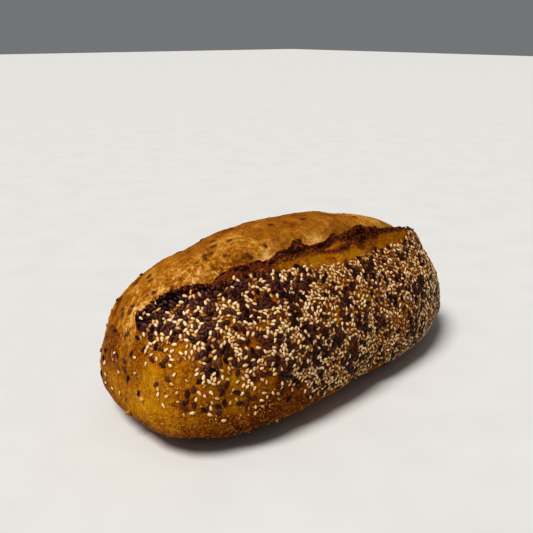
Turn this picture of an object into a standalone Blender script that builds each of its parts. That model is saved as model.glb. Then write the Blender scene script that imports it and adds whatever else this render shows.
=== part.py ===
"""A flax and sesame loaf: one solid of bread with a lengthwise slash and a raised, ragged ear.

The loaf rests on its flat underside. Its blunt end points along -X and its tapered end along +X.
The seeded side with the ear faces -Y, and the open crust of the slash lies on top and towards +Y.
"""
import math

import bmesh
import bpy
import numpy as np

# Driving sizes of the loaf, in metres.
BLUNT_LENGTH = 0.1135       # widest station to the tip of the blunt end
TAPERED_LENGTH = 0.1405     # widest station to the tip of the tapered end
LOAF_WIDTH = 0.122
LOAF_HEIGHT = 0.0985        # top of the dome, without the ear
WIDEST_HEIGHT = 0.024       # height at which the loaf is widest
UNDERSIDE_CUT = 0.10        # share of its depth by which the underside's curve is cut off flat

# Powers of the rounded outlines: 2 is an ellipse, and a higher power is squarer.
PLAN_POWER_BLUNT = 3.4
PLAN_POWER_TAPERED = 2.6
HEIGHT_POWER_BLUNT = 2.5
HEIGHT_POWER_TAPERED = 2.1
DOME_POWER = 2.08
UNDERSIDE_POWER = 2.5

# The ear: the raised lip of the slash, bowed towards the seeded side.
EAR_BOW = 0.029             # distance of the lip from the loaf's middle plane, halfway along
EAR_BOW_POWER = 4.2
EAR_END_BLUNT = 0.90        # share of the half length at which the ear ends at the blunt end
SLASH_END_TAPERED = 0.98    # share at which the slash's two edges meet at the tapered end
SLASH_END_FADE = 0.72       # share of the slash at which its depth starts to fade towards its ends
EDGE_CLEARANCE = math.radians(6)   # least angle between an edge of the slash and the middle plane
EAR_RISE = 0.0044           # mean height of the lip above the dome
EAR_LEAN = 0.42             # how far the lip leans over the slash, as a share of its rise
EAR_DEPTH = 0.0036          # depth of the trench behind the lip
EAR_FACE = 0.016            # width of the lip's outer face, and of the trench behind it
EAR_BLUNT_FADE = (0.88, 0.94)      # shares of the half length where the lip starts to fade and ends
EAR_TAPERED_FADE = (0.84, 0.99)
EAR_PEAKS = (               # (place along X, extra rise, half width), the lip's ups and downs
    (-0.106, 0.0006, 0.0050),
    (-0.092, -0.0016, 0.0050),
    (-0.085, -0.0024, 0.0045),
    (-0.077, 0.0017, 0.0045),
    (-0.051, -0.0028, 0.0070),
    (-0.032, 0.0024, 0.0030),
    (-0.0215, -0.0026, 0.0070),
    (-0.0105, -0.0052, 0.0085),
    (-0.0020, 0.0026, 0.0030),
    (0.0070, -0.0012, 0.0060),
    (0.0250, 0.0032, 0.0090),
)
# The lip's section: (place across the lip, height). The place is a share of EAR_FACE, positive on
# the seeded side. The height is a share of the rise above the dome, or of the depth below it.
EAR_SECTION = (
    (1.00, 0.00),
    (0.76, 0.10),
    (0.52, 0.32),
    (0.32, 0.60),
    (0.14, 0.88),
    (0.02, 1.00),
    (-0.06, 0.94),
    (-0.09, 0.55),
    (-0.12, 0.10),
    (-0.15, -0.62),
    (-0.28, -1.00),
    (-0.52, -0.74),
    (-0.76, -0.26),
    (-1.00, 0.00),
)

# The slash's other edge, where the skin was torn back and did not curl up.
TEAR_BOW = 0.037            # distance of the torn edge from the middle plane, halfway along
TEAR_BOW_POWER_BLUNT = 17.0
TEAR_BOW_POWER_TAPERED = 3.2
TEAR_END_BLUNT = 0.975      # share of the half length at which the torn edge ends at the blunt end
TEAR_END_FADE = 0.90        # share of the torn edge at which its step starts to fade there
TEAR_STEP = 0.0012          # height of the skin's edge above the open crust
TEAR_FACE = 0.009
TEAR_SECTION = (
    (1.00, 0.00),
    (0.30, -0.70),
    (0.06, -0.40),
    (-0.06, 0.85),
    (-0.30, 0.70),
    (-1.00, 0.00),
)

# Hand-shaped unevenness: (height, waves along the loaf, waves round it, phase in radians).
LUMPS = (
    (0.00060, 2.3, 1.0, 0.4),
    (0.00045, 4.1, 2.0, 2.1),
    (0.00035, 6.7, 3.0, 4.4),
)
LUMP_FREE_HEIGHT = 0.016    # the lumps fade in from the underside up to this height
LUMP_FREE_END = 0.12        # and from each tip over this share of the half length

# Fineness of the mesh.
STATION_COUNT = 71          # rings between the two tips
SEEDED_SIDE_STEPS = 17      # from the middle of the underside up to the ear
OPEN_CRUST_STEPS = 6        # between the trench and the torn edge
FAR_SIDE_STEPS = 17         # from the torn edge down to the middle of the underside
OUTLINE_STEPS = 4000        # fine steps that measure the outline's length
ANGLE_STEP = 1e-4           # step, in radians or metres, that measures the slope of the surface
GAP_SHARE = 0.45            # most of the slash's width that the section of one edge may take
STEEPEST_SIDE = 0.95        # most of the half width that an edge of the slash may lie to one side

CRUST_COLOUR = (0.34, 0.15, 0.035, 1.0)
CRUST_ROUGHNESS = 0.62

UNDERSIDE_ANGLE = math.radians(270)     # round the section: 0 is +Y, 90 is up, 180 is -Y
CENTRE_SHIFT = (BLUNT_LENGTH - TAPERED_LENGTH) / 2


def clear_scene():
    """Remove every object of the scene."""
    for item in list(bpy.data.objects):
        bpy.data.objects.remove(item)


def smooth_step(low, high, value):
    """Go smoothly from 0 at low to 1 at high."""
    share = np.clip((value - low) / (high - low), 0.0, 1.0)
    return share * share * (3 - 2 * share)


def half_share(place):
    """Say how far along its half of the loaf a place on X lies: -1 and 1 are the tips."""
    along = place - CENTRE_SHIFT
    return np.where(along < 0, along / BLUNT_LENGTH, along / TAPERED_LENGTH)


def taper(share, blunt_power, tapered_power):
    """Give the loaf's size at a share of its half length, as a share of its full size."""
    power = np.where(share < 0, blunt_power, tapered_power)
    return np.clip(1 - np.abs(share) ** power, 0, None) ** (1 / power)


def plain_surface(place, angle):
    """Give the loaf's surface without its ear, at a place on X and an angle round the section."""
    share = half_share(place)
    width = taper(share, PLAN_POWER_BLUNT, PLAN_POWER_TAPERED)
    height = taper(share, HEIGHT_POWER_BLUNT, HEIGHT_POWER_TAPERED)
    across, up = np.cos(angle), np.sin(angle)
    power = np.where(up >= 0, DOME_POWER, UNDERSIDE_POWER)
    reach = (np.abs(across) ** power + np.abs(up) ** power) ** (-1 / power)
    dome = (LOAF_HEIGHT - WIDEST_HEIGHT) * height
    bowl = WIDEST_HEIGHT * (1 + UNDERSIDE_CUT) * width
    side = LOAF_WIDTH / 2 * width * reach * across
    rise = WIDEST_HEIGHT + np.where(up >= 0, dome, bowl) * reach * up
    return np.stack(np.broadcast_arrays(place, side, rise), axis=-1)


def surface_frame(place, angle):
    """Give the outward direction and the direction round the section, both of length 1."""
    along = plain_surface(place + ANGLE_STEP, angle) - plain_surface(place - ANGLE_STEP, angle)
    around = plain_surface(place, angle + ANGLE_STEP) - plain_surface(place, angle - ANGLE_STEP)
    outward = np.cross(around, along)
    outward /= np.linalg.norm(outward, axis=-1, keepdims=True)
    around /= np.linalg.norm(around, axis=-1, keepdims=True)
    return outward, around


def edge_angle(share, along_edge, bow, power):
    """Give the angle between the middle plane and a slash's edge that bows out by a distance."""
    side = bow * np.clip(1 - along_edge ** power, 0, None)
    width = LOAF_WIDTH / 2 * taper(share, PLAN_POWER_BLUNT, PLAN_POWER_TAPERED)
    across = np.minimum(side / np.maximum(width, ANGLE_STEP), STEEPEST_SIDE)
    up = (1 - np.abs(across) ** DOME_POWER) ** (1 / DOME_POWER)
    return np.hypot(math.pi / 2 - np.arctan2(up, across), EDGE_CLEARANCE)


def slash_edges(share):
    """Give the angles of the lip and of the torn edge, and how far along its half each lies."""
    tapered = share / SLASH_END_TAPERED
    along_ear = np.where(share < 0, -share / EAR_END_BLUNT, tapered)
    along_tear = np.where(share < 0, -share / TEAR_END_BLUNT, tapered)
    tear_power = np.where(share < 0, TEAR_BOW_POWER_BLUNT, TEAR_BOW_POWER_TAPERED)
    ear = math.pi / 2 + edge_angle(share, along_ear, EAR_BOW, EAR_BOW_POWER)
    tear = math.pi / 2 - edge_angle(share, along_tear, TEAR_BOW, tear_power)
    return ear, tear, along_ear, along_tear


def ear_rise(place, share):
    """Give the height of the lip above the dome along the loaf."""
    peaks = sum(rise * np.exp(-((place - middle) / half) ** 2) for middle, rise, half in EAR_PEAKS)
    blunt_end = 1 - smooth_step(*EAR_BLUNT_FADE, -share)
    tapered_end = 1 - smooth_step(*EAR_TAPERED_FADE, share)
    return (EAR_RISE + peaks) * blunt_end * tapered_end


def ear_depth(along_ear):
    """Give the depth of the trench behind the lip, which fades out where the ear ends."""
    return EAR_DEPTH * (1 - smooth_step(SLASH_END_FADE, 1, along_ear))


def tear_step(share, along_tear):
    """Give the height of the torn edge's step, which fades out where the slash ends."""
    start = np.where(share < 0, TEAR_END_FADE, SLASH_END_FADE)
    return TEAR_STEP * (1 - smooth_step(start, 1, along_tear))


def lumps(share, angle, level):
    """Give the loaf's gentle unevenness, which fades out at the tips and at the underside."""
    waves = sum(height * np.sin(along * math.pi * share + around * angle + phase)
                for height, along, around, phase in LUMPS)
    tips = smooth_step(0, LUMP_FREE_END, 1 - np.abs(share))
    return waves * tips * smooth_step(0, LUMP_FREE_HEIGHT, level)


def even_places(count):
    """Give places on X between the tips, spaced evenly along the loaf's outline from above."""
    fine = np.sin(np.linspace(-math.pi / 2, math.pi / 2, OUTLINE_STEPS))
    place = CENTRE_SHIFT + np.where(fine < 0, fine * BLUNT_LENGTH, fine * TAPERED_LENGTH)
    side = LOAF_WIDTH / 2 * taper(fine, PLAN_POWER_BLUNT, PLAN_POWER_TAPERED)
    length = np.concatenate([[0], np.cumsum(np.hypot(np.diff(place), np.diff(side)))])
    return np.interp(np.linspace(0, length[-1], count + 2)[1:-1], length, place)


def steps_between(start, end, count):
    """Give count angles after start and up to end, evenly spaced, for each station."""
    shares = np.linspace(0, 1, count + 1)[1:]
    return start[:, None] + (end - start)[:, None] * shares


def section_points(place, middle, gap, section, face, rise, depth):
    """Follow a slash's edge at each station: angles, and heights above the dome.

    The gap is the angle between the slash's two edges, which their sections share.
    """
    before = plain_surface(place, middle - ANGLE_STEP)
    after = plain_surface(place, middle + ANGLE_STEP)
    radius = np.linalg.norm(after - before, axis=-1) / (2 * ANGLE_STEP)
    turn = np.minimum(face / radius, GAP_SHARE * gap)
    across = np.array([point[0] for point in section])
    level = np.array([point[1] for point in section])
    angles = middle[:, None] + turn[:, None] * across
    heights = np.where(level > 0, rise[:, None] * level, depth[:, None] * level)
    return angles, heights


def ring_points():
    """Give every ring of the loaf: an array of stations, points round each, and X, Y, Z."""
    place = even_places(STATION_COUNT)
    share = half_share(place)
    ear, tear, along_ear, along_tear = slash_edges(share)
    ear_angles, ear_heights = section_points(
        place, ear, ear - tear, EAR_SECTION, EAR_FACE, ear_rise(place, share), ear_depth(along_ear))
    step = tear_step(share, along_tear)
    tear_angles, tear_heights = section_points(
        place, tear, ear - tear, TEAR_SECTION, TEAR_FACE, step, step)
    # The ring runs from the underside up the seeded side, over the top and down the far side.
    under_seeded = np.full_like(place, UNDERSIDE_ANGLE)
    under_far = np.full_like(place, UNDERSIDE_ANGLE - 2 * math.pi)
    seeded_side = steps_between(ear_angles[:, 0], under_seeded, SEEDED_SIDE_STEPS)[:, ::-1]
    open_crust = steps_between(ear_angles[:, -1], tear_angles[:, 0], OPEN_CRUST_STEPS)[:, :-1]
    far_side = steps_between(tear_angles[:, -1], under_far, FAR_SIDE_STEPS)[:, :-1]
    angles = np.hstack([seeded_side, ear_angles, open_crust, tear_angles, far_side])
    heights = np.hstack([np.zeros_like(seeded_side), ear_heights, np.zeros_like(open_crust),
                         tear_heights, np.zeros_like(far_side)])
    places = np.broadcast_to(place[:, None], angles.shape)
    points = plain_surface(places, angles)
    outward, around = surface_frame(places, angles)
    lean = np.hstack([np.zeros_like(seeded_side), EAR_LEAN * np.clip(ear_heights, 0, None),
                      np.zeros_like(open_crust), np.zeros_like(tear_heights),
                      np.zeros_like(far_side)])
    heights = heights + lumps(half_share(places), angles, points[..., 2])
    points = points + outward * heights[..., None] - around * lean[..., None]
    points[..., 2] = np.maximum(points[..., 2], 0)
    return points


def tip_point(place):
    """Give the tip of an end, at the height where the loaf is widest."""
    return (place, 0.0, WIDEST_HEIGHT)


def loft(name, rings, first_tip, last_tip):
    """Join rings of equal count into one closed skin that ends in a point at each tip."""
    mesh = bpy.data.meshes.new(name)
    shape = bmesh.new()
    loops = [[shape.verts.new(point) for point in ring] for ring in rings]
    count = len(loops[0])
    for ring, next_ring in zip(loops, loops[1:]):
        for i in range(count):
            j = (i + 1) % count
            shape.faces.new((ring[i], ring[j], next_ring[j], next_ring[i]))
    for loop, tip in ((loops[0], first_tip), (loops[-1], last_tip)):
        centre = shape.verts.new(tip)
        for i in range(count):
            shape.faces.new((loop[i], loop[(i + 1) % count], centre))
    bmesh.ops.recalc_face_normals(shape, faces=shape.faces)
    shape.to_mesh(mesh)
    shape.free()
    mesh.shade_smooth()
    solid = bpy.data.objects.new(name, mesh)
    bpy.context.scene.collection.objects.link(solid)
    return solid


def crust_material():
    """Make the browned crust."""
    material = bpy.data.materials.new("crust")
    material.use_nodes = True
    shader = material.node_tree.nodes["Principled BSDF"]
    shader.inputs["Base Color"].default_value = CRUST_COLOUR
    shader.inputs["Roughness"].default_value = CRUST_ROUGHNESS
    shader.inputs["Metallic"].default_value = 0.0
    return material


def make_loaf():
    """Make the loaf as one closed solid."""
    half_length = (BLUNT_LENGTH + TAPERED_LENGTH) / 2
    loaf = loft("loaf", ring_points(), tip_point(-half_length), tip_point(half_length))
    loaf.data.materials.append(crust_material())
    return loaf


clear_scene()
make_loaf()
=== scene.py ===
"""Looks of the flax and sesame loaf: crust, lip, seeds and crumbs at true size, camera, light, floor.

The loaf's form is worked out here again, much more finely than in the frame's solid, from the same
sizes. X runs from the blunt end to the tapered end, and -Y is the seeded side with the ear.
"""

import math
from types import SimpleNamespace

import bpy
import numpy as np
from mathutils import Matrix, Vector, kdtree, noise


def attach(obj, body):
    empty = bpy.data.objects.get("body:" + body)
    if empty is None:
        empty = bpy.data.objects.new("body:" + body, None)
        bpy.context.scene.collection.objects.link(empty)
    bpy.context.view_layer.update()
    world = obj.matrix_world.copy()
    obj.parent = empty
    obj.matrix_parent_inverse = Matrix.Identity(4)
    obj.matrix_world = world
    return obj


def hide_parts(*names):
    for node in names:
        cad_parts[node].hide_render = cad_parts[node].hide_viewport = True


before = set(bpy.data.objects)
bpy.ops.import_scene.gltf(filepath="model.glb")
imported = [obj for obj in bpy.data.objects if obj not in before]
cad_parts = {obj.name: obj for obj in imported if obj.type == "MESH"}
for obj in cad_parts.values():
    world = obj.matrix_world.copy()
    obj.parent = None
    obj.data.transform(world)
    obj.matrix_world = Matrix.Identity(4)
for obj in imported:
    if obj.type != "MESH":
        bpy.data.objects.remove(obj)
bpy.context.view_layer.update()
MM = 0.001

# ---- the loaf's form
BLUNT_LENGTH = 0.1135  # widest station to the tip of the blunt end
TAPERED_LENGTH = 0.1405  # widest station to the tip of the tapered end
LOAF_WIDTH = 0.122
LOAF_HEIGHT = 0.0985
WIDEST_HEIGHT = 0.024
UNDERSIDE_CUT = 0.10
PLAN_POWERS = (3.4, 2.6)  # of the blunt half and of the tapered half
HEIGHT_POWERS = (2.5, 2.1)
DOME_POWER = 2.08
UNDERSIDE_POWER = 2.5
CENTRE_SHIFT = (BLUNT_LENGTH - TAPERED_LENGTH) / 2

EAR_BOW = 0.029  # distance of the lip from the middle plane, halfway along
EAR_BOW_POWER = 4.2
EAR_END_BLUNT = 0.90  # shares of the half length at which the slash's edges end
TEAR_END_BLUNT = 0.975
SLASH_END_TAPERED = 0.98
SLASH_END_FADE = 0.72
TEAR_END_FADE = 0.90
EDGE_CLEARANCE = math.radians(6)
EAR_RISE = 0.0044
EAR_LEAN = 0.42
EAR_DEPTH = 0.0036
EAR_FACE = 0.016
EAR_BLUNT_FADE = (0.88, 0.94)
EAR_TAPERED_FADE = (0.84, 0.99)
EAR_PEAKS = (  # (place along X, extra rise, half width)
    (-0.106, 0.0006, 0.0050), (-0.092, -0.0016, 0.0050), (-0.085, -0.0024, 0.0045),
    (-0.077, 0.0017, 0.0045), (-0.051, -0.0028, 0.0070), (-0.032, 0.0024, 0.0030),
    (-0.0215, -0.0026, 0.0070), (-0.0105, -0.0052, 0.0085), (-0.0020, 0.0026, 0.0030),
    (0.0070, -0.0012, 0.0060), (0.0250, 0.0032, 0.0090),
)
EAR_SECTION = (  # (place across the lip, height), as shares of its face and its rise or depth
    (1.00, 0.00), (0.76, 0.10), (0.52, 0.32), (0.32, 0.60), (0.14, 0.88), (0.02, 1.00),
    (-0.06, 0.94), (-0.09, 0.55), (-0.12, 0.10), (-0.15, -0.62), (-0.28, -1.00), (-0.52, -0.74),
    (-0.76, -0.26), (-1.00, 0.00),
)
EAR_CREST = 5  # number of the section's highest point
TEAR_BOW = 0.037
TEAR_BOW_POWERS = (17.0, 3.2)
TEAR_STEP = 0.0012
TEAR_FACE = 0.009
TEAR_SECTION = ((1.00, 0.00), (0.30, -0.70), (0.06, -0.40), (-0.06, 0.85), (-0.30, 0.70), (-1.00, 0.00))
LUMPS = (  # (height, waves along the loaf, waves round it, phase)
    (0.00060, 2.3, 1.0, 0.4), (0.00045, 4.1, 2.0, 2.1), (0.00035, 6.7, 3.0, 4.4),
)
LUMP_FREE_HEIGHT = 0.016
LUMP_FREE_END = 0.12
GAP_SHARE = 0.45
STEEPEST_SIDE = 0.95
OUTLINE_STEPS = 4000
ANGLE_STEP = 1e-4
UNDERSIDE_ANGLE = math.radians(270)  # round the section: 0 is +Y, 90 is up, 180 is -Y
BASE_ANGLE = math.radians(214)  # where the seeded side turns into the flat base

# Fineness of the crust's mesh.
STATION_COUNT = 318
SEEDED_SIDE_STEPS = 98
BASE_STEPS = 8
EAR_STEPS = 5  # for each stretch of the ear's section
OPEN_CRUST_STEPS = 60
TEAR_STEPS = 3
FAR_SIDE_STEPS = 58


def smooth_step(low, high, value):
    """Go smoothly from 0 at low to 1 at high."""
    share = np.clip((value - low) / (high - low), 0.0, 1.0)
    return share * share * (3 - 2 * share)


def stepped(trend, value):
    """Follow a trend: its start, and a change between two values for each of its further members."""
    total, *steps = trend
    for change, low, high in steps:
        total = total + change * smooth_step(low, high, value)
    return total


def bell(value, middle, half):
    """Give 1 at the middle, and fade out past a half width on both sides of it."""
    return np.exp(-((value - middle) / half) ** 2)


def unit(vectors):
    """Give vectors their direction and length 1."""
    return vectors / np.maximum(np.linalg.norm(vectors, axis=-1, keepdims=True), 1e-12)


def half_share(place):
    """Say how far along its half of the loaf a place on X lies: -1 and 1 are the tips."""
    along = place - CENTRE_SHIFT
    return np.where(along < 0, along / BLUNT_LENGTH, along / TAPERED_LENGTH)


def taper(share, powers):
    """Give the loaf's size at a share of its half length, as a share of its full size."""
    power = np.where(share < 0, *powers)
    return np.clip(1 - np.abs(share) ** power, 0, None) ** (1 / power)


def plain_surface(place, angle):
    """Give the loaf's surface without its ear, at a place on X and an angle round the section."""
    share = half_share(place)
    width, height = taper(share, PLAN_POWERS), taper(share, HEIGHT_POWERS)
    across, up = np.cos(angle), np.sin(angle)
    power = np.where(up >= 0, DOME_POWER, UNDERSIDE_POWER)
    reach = (np.abs(across) ** power + np.abs(up) ** power) ** (-1 / power)
    dome = (LOAF_HEIGHT - WIDEST_HEIGHT) * height
    bowl = WIDEST_HEIGHT * (1 + UNDERSIDE_CUT) * width
    side = LOAF_WIDTH / 2 * width * reach * across
    rise = WIDEST_HEIGHT + np.where(up >= 0, dome, bowl) * reach * up
    return np.stack(np.broadcast_arrays(place, side, rise), axis=-1)


def surface_frame(place, angle):
    """Give the outward direction and the direction round the section."""
    along = plain_surface(place + ANGLE_STEP, angle) - plain_surface(place - ANGLE_STEP, angle)
    around = plain_surface(place, angle + ANGLE_STEP) - plain_surface(place, angle - ANGLE_STEP)
    return unit(np.cross(around, along)), unit(around)


def edge_angle(share, along_edge, bow, power):
    """Give the angle between the middle plane and a slash's edge that bows out by a distance."""
    side = bow * np.clip(1 - along_edge ** power, 0, None)
    width = LOAF_WIDTH / 2 * taper(share, PLAN_POWERS)
    across = np.minimum(side / np.maximum(width, ANGLE_STEP), STEEPEST_SIDE)
    up = (1 - np.abs(across) ** DOME_POWER) ** (1 / DOME_POWER)
    return np.hypot(math.pi / 2 - np.arctan2(up, across), EDGE_CLEARANCE)


def slash_edges(share):
    """Give the angles of the lip and of the torn edge, and how far along its half each lies."""
    tapered = share / SLASH_END_TAPERED
    along_ear = np.where(share < 0, -share / EAR_END_BLUNT, tapered)
    along_tear = np.where(share < 0, -share / TEAR_END_BLUNT, tapered)
    ear = math.pi / 2 + edge_angle(share, along_ear, EAR_BOW, EAR_BOW_POWER)
    tear_power = np.where(share < 0, *TEAR_BOW_POWERS)
    tear = math.pi / 2 - edge_angle(share, along_tear, TEAR_BOW, tear_power)
    return ear, tear, along_ear, along_tear


def ear_fade(share):
    """Give 1 along the ear, and fade to 0 past its two ends."""
    blunt_end = 1 - smooth_step(*EAR_BLUNT_FADE, -share)
    return blunt_end * (1 - smooth_step(*EAR_TAPERED_FADE, share))


def peaks_at(place, peaks):
    """Add up, at places along X, a table's peaks and dips."""
    return sum(rise * bell(place, middle, half) for middle, rise, half in peaks)


def ear_rise(place, share):
    """Give the height of the lip above the dome along the loaf."""
    return (EAR_RISE + peaks_at(place, EAR_PEAKS)) * ear_fade(share)


def ear_depth(along_ear):
    """Give how deep the hollow behind the lip is along the loaf."""
    return EAR_DEPTH * (1 - smooth_step(SLASH_END_FADE, 1, along_ear))


def tear_step(share, along_tear):
    """Give the height of the torn edge's step, which fades out where the slash ends."""
    start = np.where(share < 0, TEAR_END_FADE, SLASH_END_FADE)
    return TEAR_STEP * (1 - smooth_step(start, 1, along_tear))


def lumps(share, angle, level):
    """Give the loaf's gentle unevenness, which fades out at the tips and near the underside."""
    waves = sum(height * np.sin(along * math.pi * share + around * angle + phase)
                for height, along, around, phase in LUMPS)
    tips = smooth_step(0, LUMP_FREE_END, 1 - np.abs(share))
    return waves * tips * smooth_step(0, LUMP_FREE_HEIGHT, level)


def even_places(count):
    """Give places on X between the tips, spaced evenly along the loaf's outline from above."""
    fine = np.sin(np.linspace(-math.pi / 2, math.pi / 2, OUTLINE_STEPS))
    place = CENTRE_SHIFT + np.where(fine < 0, fine * BLUNT_LENGTH, fine * TAPERED_LENGTH)
    side = LOAF_WIDTH / 2 * taper(fine, PLAN_POWERS)
    length = np.concatenate([[0], np.cumsum(np.hypot(np.diff(place), np.diff(side)))])
    return np.interp(np.linspace(0, length[-1], count + 2)[1:-1], length, place)


def steps_between(start, end, count):
    """Give count angles after start and up to end, evenly spaced, for each station."""
    shares = np.linspace(0, 1, count + 1)[1:]
    return start[:, None] + (end - start)[:, None] * shares


def rounded(section, steps):
    """Run a smooth line through a section's points, with a number of steps for each stretch."""
    knots = np.array(section)
    padded = np.vstack([2 * knots[0] - knots[1], knots, 2 * knots[-1] - knots[-2]])
    line = [knots[:1]]
    share = np.linspace(0, 1, steps + 1)[1:, None]
    for before, start, end, after in zip(padded, padded[1:], padded[2:], padded[3:]):
        line.append(0.5 * (2 * start + (end - before) * share
                           + (2 * before - 5 * start + 4 * end - after) * share ** 2
                           + (3 * start - before - 3 * end + after) * share ** 3))
    return np.vstack(line)


def edge_turn(place, middle, gap, face):
    """Give the turn round the section that goes with the width of a slash's edge."""
    before = plain_surface(place, middle - ANGLE_STEP)
    after = plain_surface(place, middle + ANGLE_STEP)
    radius = np.linalg.norm(after - before, axis=-1) / (2 * ANGLE_STEP)
    return np.minimum(face / radius, GAP_SHARE * gap)


def section_points(place, middle, gap, section, face, rise, depth):
    """Follow a slash's edge at each station: angles, and heights above the dome."""
    across, level = section[:, 0], section[:, 1]
    angles = middle[:, None] + edge_turn(place, middle, gap, face)[:, None] * across
    heights = np.where(level > 0, rise[:, None] * level, depth[:, None] * level)
    return angles, heights


# ---- fine relief
NOISES = {  # name: (size of its bumps, shift, layers of detail)
    "broad": (11 * MM, 1.7),
    "blisters": (3.4 * MM, 9.2),
    "strands": (2.6 * MM, 5.5, 2),
    "hollows": (7 * MM, 0.9),
    "ragged": (3.6 * MM, 2.2),
    "slash": (5 * MM, 3.1),
    "wide": (26 * MM, 4.4),
    "mid": (9 * MM, 6.1),
    "seeds": (13 * MM, 2.9),
    "strip": (6 * MM, 8.1),
    "flax": (8 * MM, 12.4),
    "lip": (5 * MM, 6.6),
    "lip edge": (2 * MM, 2.6),
}
NOISE_GAIN = 1.6
DETAIL_FALL = 0.6  # how much weaker and how much finer each further layer of detail is
DETAIL_STEP = 2.1
BROAD_HEIGHT = 0.35 * MM
BLISTER_HEIGHT = 0.12 * MM
BLISTER_DIP = -0.15  # the blisters' lowest value, as a share of their height
STRAND_HEIGHT = 0.16 * MM
HOLLOW_DEPTH = 0.5 * MM
HOLLOW_START = 0.35
RAGGED_HEIGHT = 0.40 * MM
RAGGED_HALF = 3.6 * MM  # how far to each side of the lip it is ragged
RIDGE_HEIGHT = 1.0 * MM  # of the torn edge where it turns round the blunt end
RIDGE_PLACE = -1.4 * MM  # from the torn edge into the slash, so on the skin
RIDGE_HALF = 1.5 * MM
RIDGE_START = (0.90, 0.93)
RIDGE_END = (0.95, 1.0)
FLAT_HEIGHTS = (0.5 * MM, 5 * MM)  # the relief grows between these heights
SLASH_BLEND = 0.4 * MM  # half the width over which skin turns into open crust
SLASH_WANDER = 0.6 * MM
EAR_END = (0.99, 1.01)
OPEN_END = (0.985, 1.0)

TEETH_FADE = 4
EAR_TEETH = (  # (height, size, shift), the ragged edge of the lip
    (0.0012, 0.0065, 7.3), (0.0010, 0.0031, 8.3),
)
EAR_TRIMS = (  # (place along X, extra rise, half width)
    (-0.0070, -0.0026, 0.0034), (0.0018, -0.0012, 0.0026),
)
# Places along X, how far the bare strip below the lip reaches down to the seeds, how far its char
# reaches, and how rough its rim is.
STRIP = np.array((
    (-0.125, -0.0030, 0.0020, 0.4), (-0.112, -0.0020, 0.0030, 0.7), (-0.106, 0.0010, 0.0040, 1.0),
    (-0.098, 0.0036, 0.0046, 1.1), (-0.090, 0.0034, 0.0048, 1.1), (-0.083, 0.0030, 0.0045, 0.8),
    (-0.077, 0.0038, 0.0045, 1.1), (-0.071, 0.0045, 0.0062, 1.0), (-0.066, 0.0050, 0.0068, 1.0),
    (-0.057, 0.0060, 0.0070, 1.0), (-0.048, 0.0075, 0.0064, 1.0), (-0.035, 0.0100, 0.0078, 1.1),
    (-0.021, 0.0125, 0.0060, 1.0), (-0.006, 0.0147, 0.0040, 0.45), (0.003, 0.0143, 0.0052, 0.55),
    (0.010, 0.0139, 0.0100, 1.0), (0.018, 0.0132, 0.0105, 1.0), (0.028, 0.0122, 0.0075, 0.8),
    (0.040, 0.0111, 0.0050, 0.6), (0.060, 0.0092, 0.0036, 0.4), (0.070, 0.0060, 0.0020, 0.25),
    (0.080, 0.0000, 0.0018, 0.25), (0.088, -0.0040, 0.0015, 0.25), (0.125, -0.0050, 0.0010, 0.2),
))
BARE_REACH = 1  # columns of the table
CHAR_REACH = 2
RIM_ROUGHNESS = 3


def strip_value(place, column):
    """Read one column of the strip's table at places along X."""
    return np.interp(place, STRIP[:, 0], STRIP[:, column])


def relief(points, size, shift=0.0, layers=0):
    """Give smooth noise from about -1 to 1 at the points, with bumps of a size in metres."""
    scaled = (points.reshape(-1, 3) / size + shift).tolist()
    if layers:
        values = [noise.fractal(p, DETAIL_FALL, DETAIL_STEP, layers) for p in scaled]
    else:
        values = [noise.noise(p) for p in scaled]
    return np.array(values).reshape(points.shape[:-1]) * NOISE_GAIN


def line_noise(place, size, shift):
    """Give noise along X alone."""
    points = np.zeros(place.shape + (3,))
    points[..., 0] = place
    points[..., 1] = shift
    return relief(points, size, shift)


def grid_normals(points, closed=True):
    """Give the outward direction at each point of a grid of rings."""
    along = np.gradient(points, axis=0)
    if closed:
        ring = np.concatenate([points[:, -1:], points, points[:, :1]], axis=1)
        around = (ring[:, 2:] - ring[:, :-2]) / 2
    else:
        around = np.gradient(points, axis=1)
    return unit(np.cross(along, around))


def rim_teeth(place, share, level):
    """Give how far the teeth of the lip's ragged rim stand above its section, at its levels."""
    teeth = sum(height * line_noise(place, size, shift) for height, size, shift in EAR_TEETH)
    teeth = teeth * ear_fade(share) * strip_value(place, RIM_ROUGHNESS) + peaks_at(place, EAR_TRIMS)
    return teeth[:, None] * np.clip(level, 0, None) ** TEETH_FADE


def describe(place, angle, heights, behind, edges, lean):
    """Give the points of a grid and what its relief and finish need to know of them."""
    ear, tear, along_ear, along_tear = edges
    places = np.broadcast_to(place[:, None], angle.shape)
    share = half_share(places)
    plain = plain_surface(places, angle)
    outward, around = surface_frame(places, angle)
    heights = heights + lumps(share, angle, plain[..., 2])
    step = np.linalg.norm(np.diff(plain, axis=1), axis=-1) * np.sign(np.diff(angle, axis=1))
    length = np.concatenate([np.zeros((len(place), 1)), np.cumsum(step, axis=1)], axis=1)
    order = np.sign(angle[0, 1] - angle[0, 0])

    def from_edge(edge):
        """Give the signed way round the section from one of the slash's edges."""
        found = [np.interp(order * e, order * a, n) for e, a, n in zip(edge, angle, length)]
        return length - np.array(found)[:, None]

    return SimpleNamespace(
        points=plain + outward * heights[..., None] - around * lean[..., None],
        place=places, share=share, angle=angle, from_ear=from_edge(ear), from_tear=from_edge(tear),
        along_ear=np.broadcast_to(along_ear[:, None], angle.shape),
        along_tear=np.broadcast_to(along_tear[:, None], angle.shape),
        ear=ear_fade(share), behind=behind)


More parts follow.
